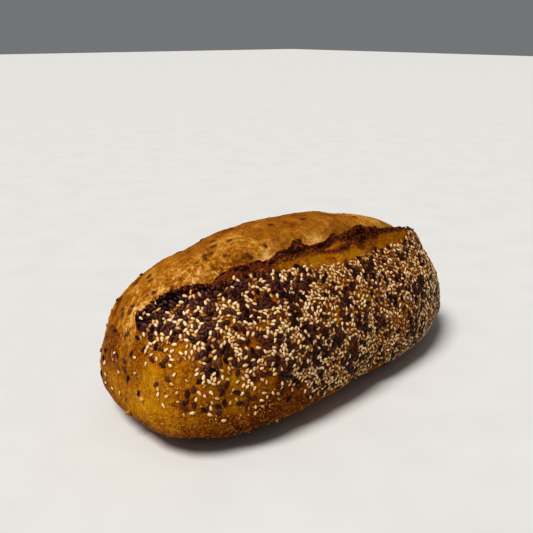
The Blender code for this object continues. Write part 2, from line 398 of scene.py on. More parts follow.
def section_angles(place, ear_angles, tear_angles):
    """Give the angles round each station, in five parts that follow each other from the underside."""
    base = np.full_like(place, BASE_ANGLE)
    under = np.full_like(place, UNDERSIDE_ANGLE)
    seeded_side = np.hstack([
        steps_between(under, base, BASE_STEPS),
        steps_between(base, ear_angles[:, 0], SEEDED_SIDE_STEPS)[:, :-1]])
    open_crust = steps_between(ear_angles[:, -1], tear_angles[:, 0], OPEN_CRUST_STEPS)[:, :-1]
    far_side = np.hstack([
        steps_between(tear_angles[:, -1], math.pi - base, FAR_SIDE_STEPS),
        steps_between(math.pi - base, under - 2 * math.pi, BASE_STEPS)])
    return seeded_side, ear_angles, open_crust, tear_angles, far_side


def loaf_surface():
    """Work out the fine crust: stations along the loaf and points round each station."""
    place = even_places(STATION_COUNT)
    share = half_share(place)
    edges = slash_edges(share)
    ear, tear, along_ear, along_tear = edges
    section = rounded(EAR_SECTION, EAR_STEPS)
    ear_angles, ear_heights = section_points(
        place, ear, ear - tear, section, EAR_FACE, ear_rise(place, share), ear_depth(along_ear))
    ear_heights = ear_heights + rim_teeth(place, share, section[:, 1])
    step = tear_step(share, along_tear)
    tear_angles, tear_heights = section_points(
        place, tear, ear - tear, rounded(TEAR_SECTION, TEAR_STEPS), TEAR_FACE, step, step)
    parts = section_angles(place, ear_angles, tear_angles)
    flat = [np.zeros_like(part) for part in parts]
    heights = np.hstack([flat[0], ear_heights, flat[2], tear_heights, flat[4]])
    lean = np.hstack([flat[0], EAR_LEAN * np.clip(ear_heights, 0, None), *flat[2:]])
    angle = np.hstack(parts)
    crest = parts[0].shape[1] + EAR_CREST * EAR_STEPS
    behind = np.broadcast_to(np.arange(angle.shape[1]) > crest, angle.shape)
    return describe(place, angle, heights, behind, edges, lean)


def open_amount(surface):
    """Give 1 on the open crust of the slash and 0 on the skin."""
    wander = relief(surface.points, *NOISES["slash"]) * SLASH_WANDER
    before_tear = smooth_step(-SLASH_BLEND, SLASH_BLEND, surface.from_tear + wander)
    before_ear = smooth_step(SLASH_BLEND, -SLASH_BLEND, surface.from_ear + wander)
    past_ear = smooth_step(*EAR_END, surface.along_ear)
    behind = np.where(surface.behind, 1.0, 0.0) * (1 - past_ear) + before_ear * past_ear
    return behind * before_tear * (1 - smooth_step(*OPEN_END, surface.along_tear))


def fine_push(surface, opened):
    """Give how far each point of the crust is pushed out by its fine relief."""
    names = ("broad", "blisters", "strands", "hollows", "ragged")
    broad, blisters, strands, hollows, ragged = (relief(surface.points, *NOISES[name]) for name in names)
    push = BROAD_HEIGHT * broad + BLISTER_HEIGHT * np.clip(blisters, BLISTER_DIP, 1) * (1 - opened)
    push = push + STRAND_HEIGHT * strands * opened
    push = push - HOLLOW_DEPTH * np.clip(hollows - HOLLOW_START, 0, 1) * opened
    crest = bell(surface.from_ear, 0, RAGGED_HALF) * surface.ear * strip_value(surface.place, RIM_ROUGHNESS)
    round_end = smooth_step(*RIDGE_START, -surface.share) * (1 - smooth_step(*RIDGE_END, surface.along_tear))
    ridge = RIDGE_HEIGHT * bell(surface.from_tear, RIDGE_PLACE, RIDGE_HALF) * round_end
    return push + RAGGED_HEIGHT * ragged * crest + ridge


def add_relief(surface, closed=True):
    """Push the crust's points out and in by its fine relief, and never below its flat underside."""
    points = surface.points
    surface.open = open_amount(surface)
    push = fine_push(surface, surface.open) * smooth_step(*FLAT_HEIGHTS, points[..., 2])
    points = points + grid_normals(points, closed) * push[..., None]
    points[..., 2] = np.maximum(points[..., 2], 0)
    surface.points = points
    surface.normals = grid_normals(points, closed)
    return surface


# ---- what the finish follows
FINISH = ("tone", "char", "open", "specks", "curl")  # numbers that each vertex stores; tone and char also carry painted shade and painted light
SKIN_SPOTS = (  # (x, y, z, radius in mm, how much browner)
    (-119.5, -38, 28, 12, 0.16), (-118, -30, 47, 14, 0.09), (-124, 8, 46, 15, 0.14),
    (-126.5, -10, 26, 9, -0.12), (-126.5, -17, 28, 6, -0.14), (-108, -47, 34, 11, 0.08),
    (-100.5, -46.5, 50, 10, -0.13), (-24, -37, 85.5, 10, -0.14), (-1, -40, 83.5, 6, 0.13),
    # The last spot lightens the strip below the lip where its face tilts away into shade: painted light.
    (14, -37, 84.5, 9, -0.19),
)
# Trends: the value at the start, then each (change, from, to), along X if nothing else is said.
SKIN_TREND = (0.37, (0.08, -0.118, -0.02))
WIDE_TONE = 0.10  # how much the wide noise, the mid one and the seeds change the skin's tone; thick seeds darken it, partly browner crust and partly painted shade between them
MID_TONE = 0.07
SEED_COVER_BROWN_AND_SHADE = 0.11
LOW_START = 12 * MM  # the low part of the skin: its height, and how much darker it is
LOW_WANDER = 4 * MM
LOW_REACH = (24 * MM, (8 * MM, -0.122, -0.108), (11 * MM, -0.110, -0.080))
# The last step lightens the low skin along most of the loaf: painted light thrown up from below.
LOW_DARKENING_AND_PAINTED_LIGHT = (0.36, (0.30, -0.108, -0.070), (-0.38, -0.085, -0.050))
FAR_END = (-0.112, -0.122)  # the far part of the blunt end: its places along X and Y
FAR_END_SIDE = (0, 0.02)
FAR_END_RISE = (0.08, (0.20, 28 * MM, 42 * MM))  # up the loaf
STRIP_TONE = 0.10  # of the browner strip below the lip
STRIP_MIDDLE = 6 * MM  # from the lip's edge down its face
STRIP_HALF = 7 * MM
BY_LIP_TREND = (0.27, (0.17, -0.084, -0.060))
BEYOND_TONE = 0.52  # of the open crust further from the lip
OPEN_WIDE_TONE = 0.14
OPEN_MID_TONE = 0.12
OPEN_WANDER = 3 * MM
OPEN_FAR_TONE = 0.14
OPEN_TREND = (0, (0.08, -0.05, 0), (-0.17, 0.01, 0.06), (0.14, -0.1175, -0.1225))
OPEN_NEAR = (3 * MM, 24 * MM)  # from the lip's edge back
OPEN_FAR = (24 * MM, 60 * MM)
TORN_TREND = (0.22, (-0.18, 0.86, 0.93))  # round the blunt end, by share of the half length
TORN_REACH = 5 * MM
PALE_DEPTH = 0.47
PALE_PLACE = (-8 * MM, 6 * MM)  # the pale patch behind the lip: middle and half width, along X
PALE_BEHIND = (8 * MM, 4 * MM)  # and back from the lip's edge
CHAR_STARTS = ((-0.045, -0.025, 0), (0.25, 0.42, 0.55))  # (places along X), (values there)
CHAR_END = 1.25
CHAR_WANDER = 0.22
CHAR_LIMIT = 1.4
CHAR_UNDER = (1.6 * MM, 3.4 * MM)
UNDER_WANDER = 0.8 * MM
FOLD_PLACES = ((-0.020, -0.010, -0.003, 0.004, 0.010), (0.002, 0.004, 0.008, 0.007, 0.005))
FOLD_HALF = 2.2 * MM
FOLD_WANDER = 0.5 * MM
FOLD_CHAR = 1.05
FOLD_START = (-0.024, -0.016)
FOLD_END = (0.006, 0.014)
# Dark below the lip's end by the blunt end: partly char, partly painted shade under the lip.
CORNER_CHAR_AND_SHADE = ((-0.1205, -0.1165, -0.105, -0.085, -0.070), (0, 1.3, 1.4, 0.9, 0))
CORNER_PLACE = (3 * MM, 6 * MM)  # middle and half width, down from the lip's edge
CORNER_WANDER = 0.25
TORN_CHAR_START = (0.90, 0.95)
TORN_CHAR_END = (0.97, 1.0)
TORN_CHAR_PLACE = (-0.8 * MM, 1.8 * MM)  # from the torn edge into the slash, and more round the blunt end
TORN_CHAR_HALF = (1.6 * MM, 2.4 * MM)
TORN_CHAR = 0.25
ROUND_END_CHAR = 0.75
ROUND_END_WANDER = 0.5
CURL_NEAR = (14 * MM, 40 * MM)
CURL_LEAST = 0.42
CURL_TREND = (0.88, (-0.88, -0.075, -0.025))
SPECK_LOW = (14 * MM, 38 * MM)
SPECK_WANDER = 5 * MM
SPECK_BLUNT = (-0.100, -0.112)
SPECK_BLUNT_AMOUNT = 0.65
SPECK_FACE = (9 * MM, 4.5 * MM)  # middle and half width, down from the lip's edge
SPECK_FACE_START = (-0.065, -0.045)
SPECK_FACE_END = (0.05, 0.02)
SPECK_FREE = (1.5 * MM, 5 * MM)
SHADE_AND_HALO_REACH = 1.7 * MM  # darkening close round each seed: painted shade on the skin, a brown halo on the open crust
SKIN_SHADE_ROUND_SEEDS = 0.20  # painted shade on the skin, where the seeds shade it
OPEN_HALO_TONE = 0.45  # on the open crust: the brown halo round the baked-in flax


def skin_browning_and_painted_light(surface, wide, mid):
    """Give how dark the skin is: golden at the blunt end, darker near the underside, darker under seeds with
    painted shade between them, and painted light low down and on the lip's strip.
    """
    points, place = surface.points, surface.place
    level = points[..., 2]
    low = 1 - smooth_step(LOW_START, stepped(LOW_REACH, place), level + LOW_WANDER * mid)
    far_end = smooth_step(*FAR_END, place) * smooth_step(*FAR_END_SIDE, points[..., 1])
    spots = sum(browner * bell(np.linalg.norm(points - np.array(centre) * MM, axis=-1), 0, radius * MM)
                for *centre, radius, browner in SKIN_SPOTS)
    tone = stepped(SKIN_TREND, place) + spots + STRIP_TONE * bell(surface.from_ear, STRIP_MIDDLE, STRIP_HALF)
    tone = tone + stepped(FAR_END_RISE, level) * far_end + low * stepped(LOW_DARKENING_AND_PAINTED_LIGHT, place)
    return tone + WIDE_TONE * wide + MID_TONE * mid + SEED_COVER_BROWN_AND_SHADE * seed_cover(surface)


def open_brownness(surface, wide, mid):
    """Give how brown the open crust is: cream beside the ear, tan beyond, brown at the torn edge."""
    behind, place = -surface.from_ear, surface.place
    by_lip = stepped(BY_LIP_TREND, place)
    tone = by_lip + (BEYOND_TONE - by_lip) * smooth_step(*OPEN_NEAR, behind + OPEN_WANDER * mid)
    tone = tone + OPEN_FAR_TONE * smooth_step(*OPEN_FAR, behind) + stepped(OPEN_TREND, place)
    tone = tone + stepped(TORN_TREND, -surface.share) * (1 - smooth_step(0, TORN_REACH, surface.from_tear))
    pale = bell(place, *PALE_PLACE) * bell(behind, *PALE_BEHIND)
    return tone - PALE_DEPTH * pale + OPEN_WIDE_TONE * wide + OPEN_MID_TONE * mid


def lip_char(surface, mid):
    """Give how charred the lip is: down its face, in a fold of the face, and underneath."""
    place, from_ear = surface.place, surface.from_ear
    reach = from_ear / strip_value(place, CHAR_REACH) + CHAR_WANDER * mid
    outer = 1 - smooth_step(np.interp(place, *CHAR_STARTS), CHAR_END, reach)
    under = 1 - smooth_step(*CHAR_UNDER, -from_ear + UNDER_WANDER * mid)
    fold = FOLD_CHAR * bell(from_ear, np.interp(place, *FOLD_PLACES), FOLD_HALF + FOLD_WANDER * mid)
    fold = fold * smooth_step(*FOLD_START, place) * (1 - smooth_step(*FOLD_END, place))
    return np.where(surface.behind, under, np.maximum(outer, fold)) * surface.ear


def char_and_corner_shade(surface, mid):
    """Give how charred the crust is: the lip, the ear's corner, which is partly painted shade under the
    lip's end, and the torn edge round the blunt end.
    """
    from_ear = surface.from_ear
    corner = np.interp(surface.place, *CORNER_CHAR_AND_SHADE) * bell(from_ear, *CORNER_PLACE)
    corner = corner * (1 + CORNER_WANDER * mid) * (from_ear > 0)
    round_end = smooth_step(*TORN_CHAR_START, -surface.share)
    middle, half = (at + change * round_end for at, change in (TORN_CHAR_PLACE, TORN_CHAR_HALF))
    torn = bell(surface.from_tear, middle, half)
    torn = torn * (1 - smooth_step(*TORN_CHAR_END, surface.along_tear))
    torn = torn * (TORN_CHAR + (ROUND_END_CHAR + ROUND_END_WANDER * mid) * round_end)
    return np.clip(np.maximum(np.clip(lip_char(surface, mid) + torn, 0, 1), corner), 0, CHAR_LIMIT)


def speck_amount(surface, mid):
    """Give how thick the pale specks lie: low on the skin, at the blunt end and on the ear's face."""
    place, level = surface.place, surface.points[..., 2]
    low = 1 - smooth_step(*SPECK_LOW, level + SPECK_WANDER * mid)
    face = bell(surface.from_ear, *SPECK_FACE)
    face = face * smooth_step(*SPECK_FACE_START, place) * smooth_step(*SPECK_FACE_END, place)
    amount = np.maximum(np.maximum(low, SPECK_BLUNT_AMOUNT * smooth_step(*SPECK_BLUNT, place)), face)
    return amount * (1 - surface.open) * smooth_step(*SPECK_FREE, level)


def add_finish(surface):
    """Add to a surface what its finish follows, one number for each point."""
    wide, mid = (relief(surface.points, *NOISES[name]) for name in ("wide", "mid"))
    skin, inner = skin_browning_and_painted_light(surface, wide, mid), open_brownness(surface, wide, mid)
    surface.tone = np.clip(skin * (1 - surface.open) + inner * surface.open, 0, 1)
    # The char number also carries the painted shade under the lip's end.
    surface.char = char_and_corner_shade(surface, mid)
    surface.specks = speck_amount(surface, mid)
    by_lip = 1 - smooth_step(*CURL_NEAR, -surface.from_ear)
    surface.curl = CURL_LEAST + by_lip * stepped(CURL_TREND, surface.place)
    return surface


def point_tree(points):
    """Sort points so that the nearest ones to a place are found."""
    tree = kdtree.KDTree(len(points))
    for number, point in enumerate(points):
        tree.insert(point, number)
    tree.balance()
    return tree


def add_seed_shade_and_halos(surface, *seeds):
    """Darken the crust close round every seed: painted shade on the skin, and a brown halo on the open
    crust.
    """
    tree = point_tree(np.vstack([values[0] for values in seeds]))
    apart = np.array([tree.find(point)[2] for point in surface.points.reshape(-1, 3)])
    depth = SKIN_SHADE_ROUND_SEEDS + (OPEN_HALO_TONE - SKIN_SHADE_ROUND_SEEDS) * surface.open
    halos = depth * bell(apart.reshape(depth.shape), 0, SHADE_AND_HALO_REACH)
    surface.tone = np.clip(surface.tone + halos, 0, 1)


# ---- meshes
def float_attribute(mesh, name, values):
    """Store one number for each vertex."""
    attribute = mesh.attributes.new(name, "FLOAT", "POINT")
    attribute.data.foreach_set("value", np.ascontiguousarray(values, np.float32).ravel())


def add_object(name, data):
    """Make an object of some data and put it in the scene."""
    made = bpy.data.objects.new(name, data)
    bpy.context.scene.collection.objects.link(made)
    return made


def make_piece(name, points, faces, finish, material):
    """Make a smooth piece of the loaf from points and faces, with its finish stored on it."""
    mesh = bpy.data.meshes.new(name)
    mesh.from_pydata(points.reshape(-1, 3).tolist(), [], faces)
    mesh.update()
    mesh.shade_smooth()
    for key, values in finish.items():
        float_attribute(mesh, key, values)
    mesh.materials.append(material)
    piece = add_object(name, mesh)
    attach(piece, "root")
    return piece


def tube_faces(rings, count):
    """Join rings of equal count, and close both ends with a fan to one point each."""
    i = np.arange(rings - 1)[:, None] * count
    j = np.arange(count)[None, :]
    k = (j + 1) % count
    quads = np.stack([i + j, i + count + j, i + count + k, i + k], axis=-1).reshape(-1, 4).tolist()
    first_tip, last_tip, top = rings * count, rings * count + 1, (rings - 1) * count
    fans = [(first_tip, a, (a + 1) % count) for a in range(count)]
    fans += [(last_tip, top + (a + 1) % count, top + a) for a in range(count)]
    return quads + fans


def make_tube(name, points, tips, finish, material):
    """Make one closed piece from rings of points and its two tips."""
    ends = {key: np.concatenate([values.ravel(), [values[0].mean(), values[-1].mean()]])
            for key, values in finish.items()}
    faces = tube_faces(*points.shape[:2])
    return make_piece(name, np.vstack([points.reshape(-1, 3), tips]), faces, ends, material)


def make_crust(surface, material):
    """Make the fine crust as one closed mesh that stands for the loaf's solid."""
    half_length = (BLUNT_LENGTH + TAPERED_LENGTH) / 2
    tips = np.array([[-half_length, 0, WIDEST_HEIGHT], [half_length, 0, WIDEST_HEIGHT]])
    finish = {key: vars(surface)[key] for key in FINISH}
    crust = make_tube("crust", surface.points, tips, finish, material)
    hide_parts("loaf")


# ---- the charred lip
LIP_ENDS = (-0.1150, 0.1150)
LIP_STATIONS = 700
LIP_ROUND = 44  # points across the lip's charred crust, outside
LIP_INNER_EVERY = 3  # one inner point for so many outer ones
LIP_STEPS = 12  # for each stretch of the ear's section
LIP_UNDER_STEPS = 15  # from the crest to the sleeve's rim underneath
LIP_SPREAD = (1.0, 0.3)  # how much a way across and a way up count for the points' spacing
LIP_MARGIN = 0.0010  # how far it reaches down past the char
LIP_TUCK = 0.0007  # how far the charred crust's rims sink into the loaf
LIP_THICKNESS = 0.0010
LIP_PROUD = 0.00010
LIP_LUMPS = (  # (height, size, shift)
    (0.00050, 0.0034, 1.9), (0.00070, 0.0018, 5.3), (0.00055, 0.0010, 3.7),
)
# Shares of the way across or along the sleeve over which it sinks in, or its lumps fade, at each side.
LIP_SINK_ACROSS = (0.30, 0.16)
LIP_SINK_ALONG = (0.02, 0.14)
LIP_SINK_EAR = (0, 0.4)  # and where the ear fades out
LIP_SMOOTH_START = (0.02, 0.65)
LIP_SMOOTH_END = (0, 0.2)
LIP_FOLD = 1.9  # the lumps are noise folded at zero and lowered
LIP_DIP = 0.5


def lip_reach(place):
    """Give how far the charred crust reaches down the lip's face along the loaf."""
    wander = 0.25 * line_noise(place, *NOISES["lip"]) + 0.15 * line_noise(place, *NOISES["lip edge"])
    return (strip_value(place, CHAR_REACH) + LIP_MARGIN) * (1 + wander)


def lip_section(place):
    """Give, at each station, the places across the lip and levels that its charred crust follows."""
    section = rounded(EAR_SECTION, LIP_STEPS)
    steps = np.hypot(*(np.diff(section, axis=0) * LIP_SPREAD).T)
    length = np.concatenate([[0], np.cumsum(steps)])
    crest = EAR_CREST * LIP_STEPS
    start = np.interp(lip_reach(place) / EAR_FACE, section[crest::-1, 0], length[crest::-1])
    way = length[crest + LIP_UNDER_STEPS] - start
    along = start[:, None] + way[:, None] * np.linspace(0, 1, LIP_ROUND)
    across, level = (np.interp(along, length, section[:, k]) for k in (0, 1))
    return across, level, along > length[crest]


def lip_surface():
    """Work out the surface of the lip that its charred crust covers."""
    place = np.linspace(*LIP_ENDS, LIP_STATIONS)
    share = half_share(place)
    edges = slash_edges(share)
    ear, tear, along_ear, _ = edges
    across, level, behind = lip_section(place)
    angle = ear[:, None] + edge_turn(place, ear, ear - tear, EAR_FACE)[:, None] * across
    heights = level * np.where(level > 0, ear_rise(place, share)[:, None], ear_depth(along_ear)[:, None])
    heights = heights + rim_teeth(place, share, level)
    sleeve = describe(place, angle, heights, behind, edges, EAR_LEAN * np.clip(heights, 0, None))
    return add_finish(add_relief(sleeve, closed=False))


def between_ends(share, first, last):
    """Rise from 0 at the start of a way and fall to 0 at its end, over two shares of it."""
    return smooth_step(0, first, share) * smooth_step(0, last, 1 - share)


def make_lip(material):
    """Make the lip's charred, rough crust as a thin closed sleeve over the ear's edge."""
    sleeve = lip_surface()
    points, normals = sleeve.points, sleeve.normals
    across, along = np.linspace(0, 1, LIP_ROUND), np.linspace(0, 1, LIP_STATIONS)[:, None]
    inside = between_ends(across, *LIP_SINK_ACROSS) * between_ends(along, *LIP_SINK_ALONG)
    inside = inside * smooth_step(*LIP_SINK_EAR, sleeve.ear)
    knobs = sum(height * (LIP_FOLD * np.abs(relief(points, size, shift)) - LIP_DIP)
                for height, size, shift in LIP_LUMPS) * strip_value(sleeve.place, RIM_ROUGHNESS)
    slow = smooth_step(*LIP_SMOOTH_START, across) * smooth_step(*LIP_SMOOTH_END, 1 - across)
    push = (LIP_PROUD + knobs * slow) * inside - LIP_TUCK * (1 - inside)
    outer = points + normals * push[..., None]
    inner = points - normals * (LIP_TUCK + LIP_THICKNESS * inside)[..., None]

    def doubled(outside, within):
        """Go round the sleeve: all outer points, then back along some inner ones."""
        return np.concatenate([outside, within[:, ::-LIP_INNER_EVERY]], axis=1)

    rings = doubled(outer, inner)
    finish = {key: doubled(vars(sleeve)[key], vars(sleeve)[key]) for key in FINISH}
    tips = np.array([rings[0].mean(axis=0), rings[-1].mean(axis=0)])
    make_tube("charred_lip", rings, tips, finish, material)


# ---- where the seeds lie
SESAME_SIZE = (2.85 * MM, 1.70 * MM, 0.82 * MM)
FLAX_SIZE = (4.1 * MM, 2.10 * MM, 0.95 * MM)
SEED_TRIES = 60000  # places tried for a seed
SEED_SPACING = 1.72 * MM  # least distance between two tried places where the seeds lie thickest
LONE_SPACING = 0.5 * MM
THINNEST = 0.12  # cover below which the spacing grows no more
SEED_LIMIT = 4680
SEED_NEAR = 5.2 * MM  # seeds further apart than this don't touch
SEED_SNUG = 0.93  # share of a seed's width that its neighbours keep clear
SETTLE_ROUNDS = 14
SETTLE_PAIRS_EVERY = 6  # rounds between two looks for the seeds that may touch
SETTLE_GIVE = 0.25  # share of an overlap that a round takes away
SETTLE_TURN = 0.25  # most that a seed turns in one round
SETTLE_SHIFT = 0.35 * MM  # most that a seed shifts in one round
STUCK_SHARE = 0.22  # share of the seeds that hardly give way to others
STUCK_GIVE = 0.15
LIFT_GAIN = 1.1
LIFT_FREE = 0.10 * MM  # overlap that lifts no seed
LIFT_LIMIT = 0.95 * MM
SIZE_SPREAD = 0.065
SHAPE_SPREAD = 0.03
FAR_SEEDS = (1, (0.08, 0, 0.09))  # seeds grow larger along X
FLAX_TREND = (0.29, (-0.15, -0.06, 0.0))  # and flax gets rarer
FLAX_MOTTLE = 0.10
PATCH_FLAX = 0.38
LIP_FLAX = 0.44
FLAX_CHANCES = (0.04, 0.95)
FLAX_BY_LIP = (4 * MM, 12 * MM)
FLAX_BY_LIP_END = (-0.06, -0.03)
TOAST_TREND = (0.36, (0.24, -0.075, 0.03))
TOAST_SPREAD = 0.35
LIP_TOAST = 0.40
LIP_TOAST_REACH = 10 * MM
# Lone sesame on the blunt end are paler, which paints in their bright highlights.
LONE_PAINTED_HIGHLIGHT = 0.20
RANDOM_START = 20
AROUND_REACH = 0.055  # metres of surface for one radian, on the loaf's side

# Limits of the seeds on the seeded side: (share of the half length, angle in degrees).
DENSE_LIMIT = ((-1.0, 95), (-0.95, 116), (-0.90, 138), (-0.85, 152), (-0.75, 161), (-0.60, 167),
               (-0.40, 173), (-0.20, 186), (0.0, 195), (0.2, 199), (0.5, 203), (1.0, 206))
BARE_LIMIT = ((-1.0, 125), (-0.97, 150), (-0.92, 167), (-0.85, 175), (-0.70, 178), (-0.42, 179.5),
              (-0.30, 187), (-0.20, 196), (-0.07, 201), (0.1, 204), (0.3, 208), (1.0, 212))
FLAX_PATCHES = (  # (place along X in mm, angle in degrees, radius in mm)
    (-112, 112, 4), (-117, 120, 3), (-109, 119, 4), (-98, 128, 5), (-93, 156, 5),
    (-106, 149, 4), (-118, 163, 3), (-110, 169, 4), (-84, 155, 5), (-66, 169, 5), (-67, 134, 5),
    (-50, 139, 6), (-78, 128, 6), (-40, 133, 7), (-37, 157, 6), (-29, 165, 5), (-15, 148, 6),
    (17, 139, 6), (-7, 145, 5), (16, 169, 6), (-4, 160, 5), (64, 153, 7), (30, 157, 6),
    (-15, 171, 5), (-67, 177, 4), (-90, 174, 4), (48, 175, 6), (80, 140, 5), (90, 165, 6),
    (-54, 158, 6), (-76, 151, 5), (-104, 159, 4), (3, 134, 5),
)
OPEN_PATCHES = (  # places in the seeds where the crust shows
    (-96, 161, 5), (-75, 167, 5), (-23, 153, 4), (-60, 135, 3), (-80, 149, 4), (-98, 151, 4),
    (-112, 131, 4), (40, 165, 4), (5, 152, 3),
)
LONE_SESAME = (  # seeds of the blunt end, one by one: (place along X in mm, angle in degrees)
    (-112.8, 100), (-112.0, 103), (-110.4, 105), (-108.7, 107), (-107.8, 110), (-109.5, 110),
    (-108.7, 113), (-110.4, 111), (-107.8, 116), (-114.4, 100), (-113.6, 109), (-112.8, 107),
    (-115.8, 107), (-117.9, 104), (-119.2, 103), (-113.6, 116), (-115.1, 113), (-115.8, 115),
    (-111.2, 120), (-117.2, 115), (-118.5, 113), (-120.9, 112), (-119.7, 112), (-119.2, 116),
    (-115.8, 125), (-114.4, 129), (-120.3, 119), (-119.7, 124), (-115.8, 130), (-115.8, 133),
    (-117.2, 135), (-122.8, 119), (-123.6, 104), (-124.5, 99), (-125.3, 113), (-126.3, 75),
    (-124.5, 65), (-124.8, 59), (-125.3, 61), (-125.1, 32), (-120.3, 43), (-117.2, 142),
    (-119.2, 147), (-123.2, 145), (-123.6, 150), (-123.2, 163), (-127.0, 173),
)
LONE_FLAX = (
    (-123.6, 97), (-120.9, 122), (-117.9, 118), (-117.2, 122), (-120.9, 110), (-117.9, 131),
    (-119.2, 131), (-119.7, 143), (-123.2, 141), (-126.5, 137), (-125.1, 87), (-125.9, 90),
    (-124.8, 73), (-124.2, 32), (-123.6, 41), (-119.7, 19), (-116.5, 109), (-117.2, 112),
    (-111.2, 115), (-112.0, 113), (-105.1, 111), (-106.9, 106), (-110.4, 109), (-112.0, 106),
    (-108.7, 111), (-110.4, 122), (-111.2, 125), (-119.7, 99), (-126.5, 100), (-111.2, 100),
    (-115.8, 100), (-116.5, 102), (-113.6, 103), (-109.5, 103), (-105.1, 108), (-113.6, 105),
)
BAKED_IN_PLACES = (  # flax seeds baked into the open crust
    (-104.2, 88), (-112.0, 77), (-113.6, 65), (-114.4, 77), (-115.8, 70), (-120.3, 85), (-120.9, 82),
    (-96.8, 72), (-97.7, 57), (-73.1, 91), (-70.1, 92), (-64.1, 88), (-56.0, 92), (-72.1, 65),
    (-23.7, 91), (0.6, 94), (-42.9, 107), (-57.0, 108),
)
BAKED_IN_COUNT = 12  # further ones, anywhere in the open crust
BAKED_IN_START = -0.100
BAKED_IN_MARGINS = (6 * MM, 3 * MM)  # from the lip and from the torn edge
BAKED_IN_SIZE = (0.95, 0.08)  # mean and spread, as shares of a flax seed's size
BAKED_IN_TONE = 0.2

# How thickly the seeds lie, by angle in degrees, way from an edge, or share.
DENSE_FADE = (0, 9)
BARE_FADE = (-2, 5)
SPARSE_COVER = 0.40  # between the two limits
FAR_LIMIT = -16
FAR_FADE = (-8, 10)
FAR_COVER = 0.72
FAR_EDGE = (0.5 * MM, 3 * MM)
STRIP_EDGE = (-0.8 * MM, 0.4 * MM)
STRIP_WANDER = 0.5 * MM
PATCH_BARE = 0.85
PAST_SLASH = (0.985, 1.01)
BLUNT_START = -0.1075  # where the blunt end's sparse seeds begin
BLUNT_SHIFT = 0.0055  # and how much nearer to the tip on the ear's side
BLUNT_FADE = 0.006
BLUNT_COVER = 0.16
BLUNT_SIDE = (2.9, 2.5)  # this angle and the next four are in radians
EAR_SIDE_START = (1.6, 1.75)
EAR_SIDE_END = (2.5, 2.3)
SPARSE_MIDDLE = 0.2
SPARSE_HALF = (0.35, 0.15)
UPPER_SIDE = (-10, 10)  # in degrees
COVER_WANDER = 5
COVER_SPREAD = 0.22
THINNER_TREND = (1, (-0.15, -0.04, 0.02))


def patch_weight(place, angle, patches):
    """Give how much each point belongs to some round patches on the seeded side."""
    weight = np.zeros_like(place)
    for middle, turn, radius in patches:
        along = (place - middle * MM) / (radius * MM)
        around = (angle - math.radians(turn)) * AROUND_REACH / (radius * MM)
        weight = np.maximum(weight, np.exp(-along ** 2 - around ** 2))
    return weight


def past_limit(surface, limit, fade, wander):
    """Give 0 above a limit of the seeds and 1 below it, fading between two angles in degrees."""
    known = np.array(limit)
    edge = np.radians(np.interp(surface.share, known[:, 0], known[:, 1]))
    return smooth_step(*map(math.radians, fade), surface.angle - edge + wander)


def near_cover(surface, wander):
    """Give how thickly the seeds lie on the seeded side."""
    dense = 1 - past_limit(surface, DENSE_LIMIT, DENSE_FADE, wander)
    some = 1 - past_limit(surface, BARE_LIMIT, BARE_FADE, wander)
    edge = strip_value(surface.place, BARE_REACH) + STRIP_WANDER * relief(surface.points, *NOISES["strip"])
    seeded = np.maximum(dense, SPARSE_COVER * some) * smooth_step(*STRIP_EDGE, surface.from_ear - edge)
    return seeded * (1 - PATCH_BARE * patch_weight(surface.place, surface.angle, OPEN_PATCHES))


def far_cover(surface, wander):
    """Give how thickly the seeds lie beyond the slash."""
    far = smooth_step(*map(math.radians, FAR_FADE), surface.angle - (math.radians(FAR_LIMIT) + wander))
    return FAR_COVER * far * smooth_step(*FAR_EDGE, -surface.from_tear)


def seed_cover(surface):
    """Give how thickly the seeds lie: 0 is bare and 1 is as thick as they go."""
    share, angle = surface.share, surface.angle
    uneven = relief(surface.points, *NOISES["seeds"])
    wander = math.radians(COVER_WANDER) * uneven
    cover = np.where(angle > math.pi / 2, near_cover(surface, wander), far_cover(surface, wander))
    beyond = smooth_step(*PAST_SLASH, surface.along_tear) * (share > 0)
    upper = smooth_step(*map(math.radians, UPPER_SIDE), np.sin(angle) * math.pi / 2)
    cover = np.maximum(cover, beyond * upper)
    shift = BLUNT_SHIFT * smooth_step(*EAR_SIDE_END, angle) * smooth_step(*EAR_SIDE_START, angle)
    along = surface.place - (BLUNT_START - shift)
    blunt_end = smooth_step(0, -BLUNT_FADE, along) * smooth_step(*BLUNT_SIDE, angle)
    sparse = BLUNT_COVER * smooth_step(*SPARSE_HALF, np.abs(angle - SPARSE_MIDDLE)) * (surface.open < 0.05)
    cover = cover * (1 - blunt_end) + sparse * blunt_end
    return np.clip(cover * (1 + COVER_SPREAD * uneven), 0, 1) * stepped(THINNER_TREND, surface.place)


def sample_surface(surface, chooser, weight, count):
    """Choose places on the crust, by area and by a weight at each grid point."""
    low, high = surface.points[:-1], surface.points[1:]
    one_diagonal = np.roll(high, -1, axis=1) - low
    other_diagonal = high - np.roll(low, -1, axis=1)
    area = np.linalg.norm(np.cross(one_diagonal, other_diagonal), axis=-1) / 2
    chance = (area * weight[:-1]).ravel()
    cell = chooser.choice(chance.size, size=count, p=chance / chance.sum())
    row, column = np.unravel_index(cell, area.shape)
    u, v = chooser.random(count), chooser.random(count)
    beside = (column + 1) % area.shape[1]

    def blend(values):
        """Read values of the grid points at the chosen places."""
        shape = (count,) + (1,) * (values.ndim - 2)
        s, t = u.reshape(shape), v.reshape(shape)
        near = values[row, column] * (1 - t) + values[row, beside] * t
        far = values[row + 1, column] * (1 - t) + values[row + 1, beside] * t
        return near * (1 - s) + far * s

    return blend


